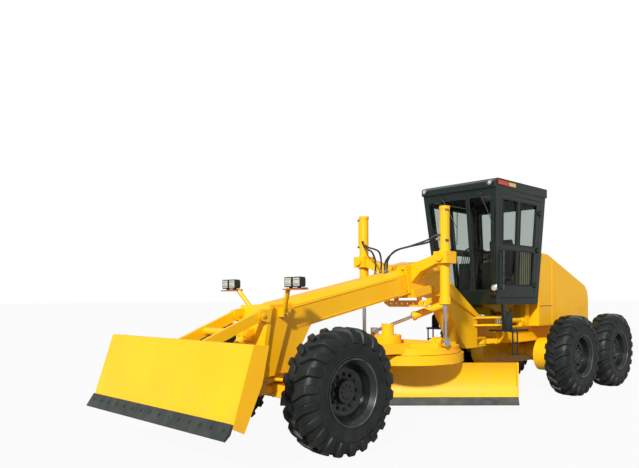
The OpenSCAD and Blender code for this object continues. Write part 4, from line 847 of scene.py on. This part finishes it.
def cushion(name, low, high, turn_y):
    """A stuffed pad with a crowned face, drawn-in sides and two sewn channels."""
    columns, rows, crown = 18, 14, 0.012
    middle = (Vector(low) + Vector(high)) / 2
    half = (Vector(high) - Vector(low)) / 2
    rings = []
    for i in range(columns + 1):
        u = -1 + 2 * i / columns
        pull = (1 - abs(u) ** 6) ** 0.5
        groove = sum(math.exp(-((u - c) / 0.05) ** 2) for c in (-0.33, 0.33)) * 0.006
        ring = []
        for a in turn(rows * 2):
            cos_a, sin_a = math.cos(a), math.sin(a)
            y = math.copysign(abs(cos_a) ** 0.45, cos_a) * half.y * (0.93 + 0.07 * pull)
            z = math.copysign(abs(sin_a) ** 0.55, sin_a) * half.z * (0.55 + 0.45 * pull)
            if sin_a > 0:
                z += (crown * (1 - (y / half.y) ** 2) * pull - groove) * sin_a
            ring.append(Vector((u * half.x * 0.995, y, z)))
        rings.append(ring)
    spin = Matrix.Rotation(math.radians(turn_y), 3, "Y")
    shape = Shape().loft([[middle + spin @ p for p in ring] for ring in rings])
    piece = shape.make(name, SEAT, "rear_frame", smooth=70)
    return piece


def make_seat():
    """Seat and back cushions, arm rests and a suspension base in place of the CAD seat."""
    base = Shape()
    base.block((SEAT_X - 0.170, -0.150, FLOOR_Z), (SEAT_X + 0.170, 0.150, FLOOR_Z + 0.050))
    for k in range(5):
        z = FLOOR_Z + 0.050 + 0.055 * k
        base.loft([rounded_flat(SEAT_X, 0, z + lift, 0.165 - inset, 0.150 - inset) for lift, inset in
                   ((0, 0.020), (0.020, 0.0), (0.035, 0.0), (0.055, 0.020))])
    base.block((SEAT_X - 0.200, -0.200, FLOOR_Z + 0.325), (SEAT_X + 0.230, 0.200, FLOOR_Z + 0.350))
    for sign in SIGNS:
        base.block(*corners((SEAT_X - 0.180, sign * 0.205, FLOOR_Z + 0.560),
                            (SEAT_X + 0.120, sign * 0.245, FLOOR_Z + 0.600)))
        base.block(*corners((SEAT_X - 0.190, sign * 0.215, FLOOR_Z + 0.420),
                            (SEAT_X - 0.150, sign * 0.235, FLOOR_Z + 0.590)))
    base = base.make("seat_base", PLASTIC, "rear_frame", bevel=0.006)
    pad = cushion("seat_cushion", (SEAT_X - 0.215, -0.235, FLOOR_Z + 0.345),
                  (SEAT_X + 0.250, 0.235, FLOOR_Z + 0.440), -3)
    back = cushion("back_cushion", (SEAT_X - 0.560, -0.225, FLOOR_Z + 0.705),
                   (SEAT_X + 0.040, 0.225, FLOOR_Z + 0.800), 101)
    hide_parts("seat")
    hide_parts("seat")
    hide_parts("seat")


def make_lining():
    """Pale ribbed lining on the cab's rear wall, and a floor mat."""
    panel, mat = Shape(), Shape()
    low, top = 1.700, 2.440
    for k in range(26):
        y = -0.46 + 0.92 * k / 25
        foot = on_cab_rear(y, low) + Vector((0.066, 0, 0))
        head = on_cab_rear(y, top) + Vector((0.066, 0, 0))
        panel.bar(foot, head, 0.012, 8)
    mat.block((cab_rear(1.6) + 0.10, -0.46, FLOOR_Z + 0.001), (cab_front(1.6) - 0.10, 0.46, FLOOR_Z + 0.008))
    panel.make("cab_lining", BEIGE, "rear_frame")
    mat.make("floor_mat", SEAL, "rear_frame")


make_seat()
make_lining()


# Camera, light and floor
CAMERA_PLACE = (7.577, 5.757, 1.632)
# Yaw, pitch and roll in degrees
CAMERA_TURN = (223.238, -0.161, -0.298)
SKY_STRENGTH = 0.48
SUN_FROM = (0.77, 0.40, 0.50)
SUN_STRENGTH = 4.1
# How much of the floor the camera sees as plain white; the rest shows the shadows
FLOOR_WHITE = 0.94
FLOOR_REACH = 500.0


def make_camera():
    """The place from which the photograph was taken."""
    data = bpy.data.cameras.new("camera")
    data.sensor_width = 36
    data.lens = 35.24
    data.shift_x = -0.0748
    data.shift_y = 0.105
    camera = bpy.data.objects.new("camera", data)
    bpy.context.scene.collection.objects.link(camera)
    yaw, pitch, roll = (math.radians(a) for a in CAMERA_TURN)
    forward = Vector((math.cos(yaw) * math.cos(pitch), math.sin(yaw) * math.cos(pitch), math.sin(pitch)))
    right = forward.cross(Vector((0, 0, 1))).normalized()
    up = right.cross(forward)
    turned = right * math.cos(roll) + up * math.sin(roll)
    upright = up * math.cos(roll) - right * math.sin(roll)
    axes = Matrix((turned, upright, -forward)).transposed()
    camera.matrix_world = Matrix.Translation(CAMERA_PLACE) @ axes.to_4x4()
    bpy.context.scene.camera = camera


def make_sun():
    """A slightly soft sun from the front left."""
    data = bpy.data.lights.new("sun", "SUN")
    data.energy = SUN_STRENGTH
    data.color = (1.0, 0.98, 0.94)
    data.angle = math.radians(4)
    light = bpy.data.objects.new("sun", data)
    bpy.context.scene.collection.objects.link(light)
    light.rotation_euler = Vector(SUN_FROM).to_track_quat("Z", "Y").to_euler()


def shown_white(tree, lit, output, white, share):
    """Mixes a white that only the camera sees over the shader that lights the object."""
    path = tree.nodes.new("ShaderNodeLightPath")
    part = tree.nodes.new("ShaderNodeMath")
    part.operation = "MULTIPLY"
    part.inputs[1].default_value = share
    tree.links.new(path.outputs["Is Camera Ray"], part.inputs[0])
    mix = tree.nodes.new("ShaderNodeMixShader")
    tree.links.new(part.outputs["Value"], mix.inputs["Fac"])
    tree.links.new(lit, mix.inputs[1])
    tree.links.new(white, mix.inputs[2])
    tree.links.new(mix.outputs["Shader"], output)


def make_stage():
    """A pale floor under a soft sky, which the camera sees as white and nearly white."""
    mesh = bpy.data.meshes.new("floor")
    points = [(x * FLOOR_REACH, y * FLOOR_REACH, -0.002) for x, y in ((-1, -1), (1, -1), (1, 1), (-1, 1))]
    mesh.from_pydata(points, [], [(0, 1, 2, 3)])
    floor = bpy.data.objects.new("floor", mesh)
    bpy.context.scene.collection.objects.link(floor)
    look = material("floor", (0.36, 0.36, 0.36), (0.34, 0.34, 0.34), 0.5, (0.8, 0.9), bump=0.0, specular=0.1)
    tree = look.node_tree
    white = tree.nodes.new("ShaderNodeEmission")
    white.inputs["Strength"].default_value = 1.0
    shown_white(tree, tree.nodes["Principled BSDF"].outputs["BSDF"],
                tree.nodes["Material Output"].inputs["Surface"], white.outputs["Emission"], FLOOR_WHITE)
    mesh.materials.append(look)
    world = bpy.data.worlds.new("sky")
    world.use_nodes = True
    tree = world.node_tree
    sky = tree.nodes["Background"]
    sky.inputs["Color"].default_value = (1, 1, 1, 1)
    sky.inputs["Strength"].default_value = SKY_STRENGTH
    white = tree.nodes.new("ShaderNodeBackground")
    white.inputs["Color"].default_value = (1, 1, 1, 1)
    shown_white(tree, sky.outputs["Background"], tree.nodes["World Output"].inputs["Surface"],
                white.outputs["Background"], 1.0)
    bpy.context.scene.world = world
    make_sun()


make_camera()
make_stage()
bpy.context.scene.view_settings.view_transform = "Standard"

write_size()
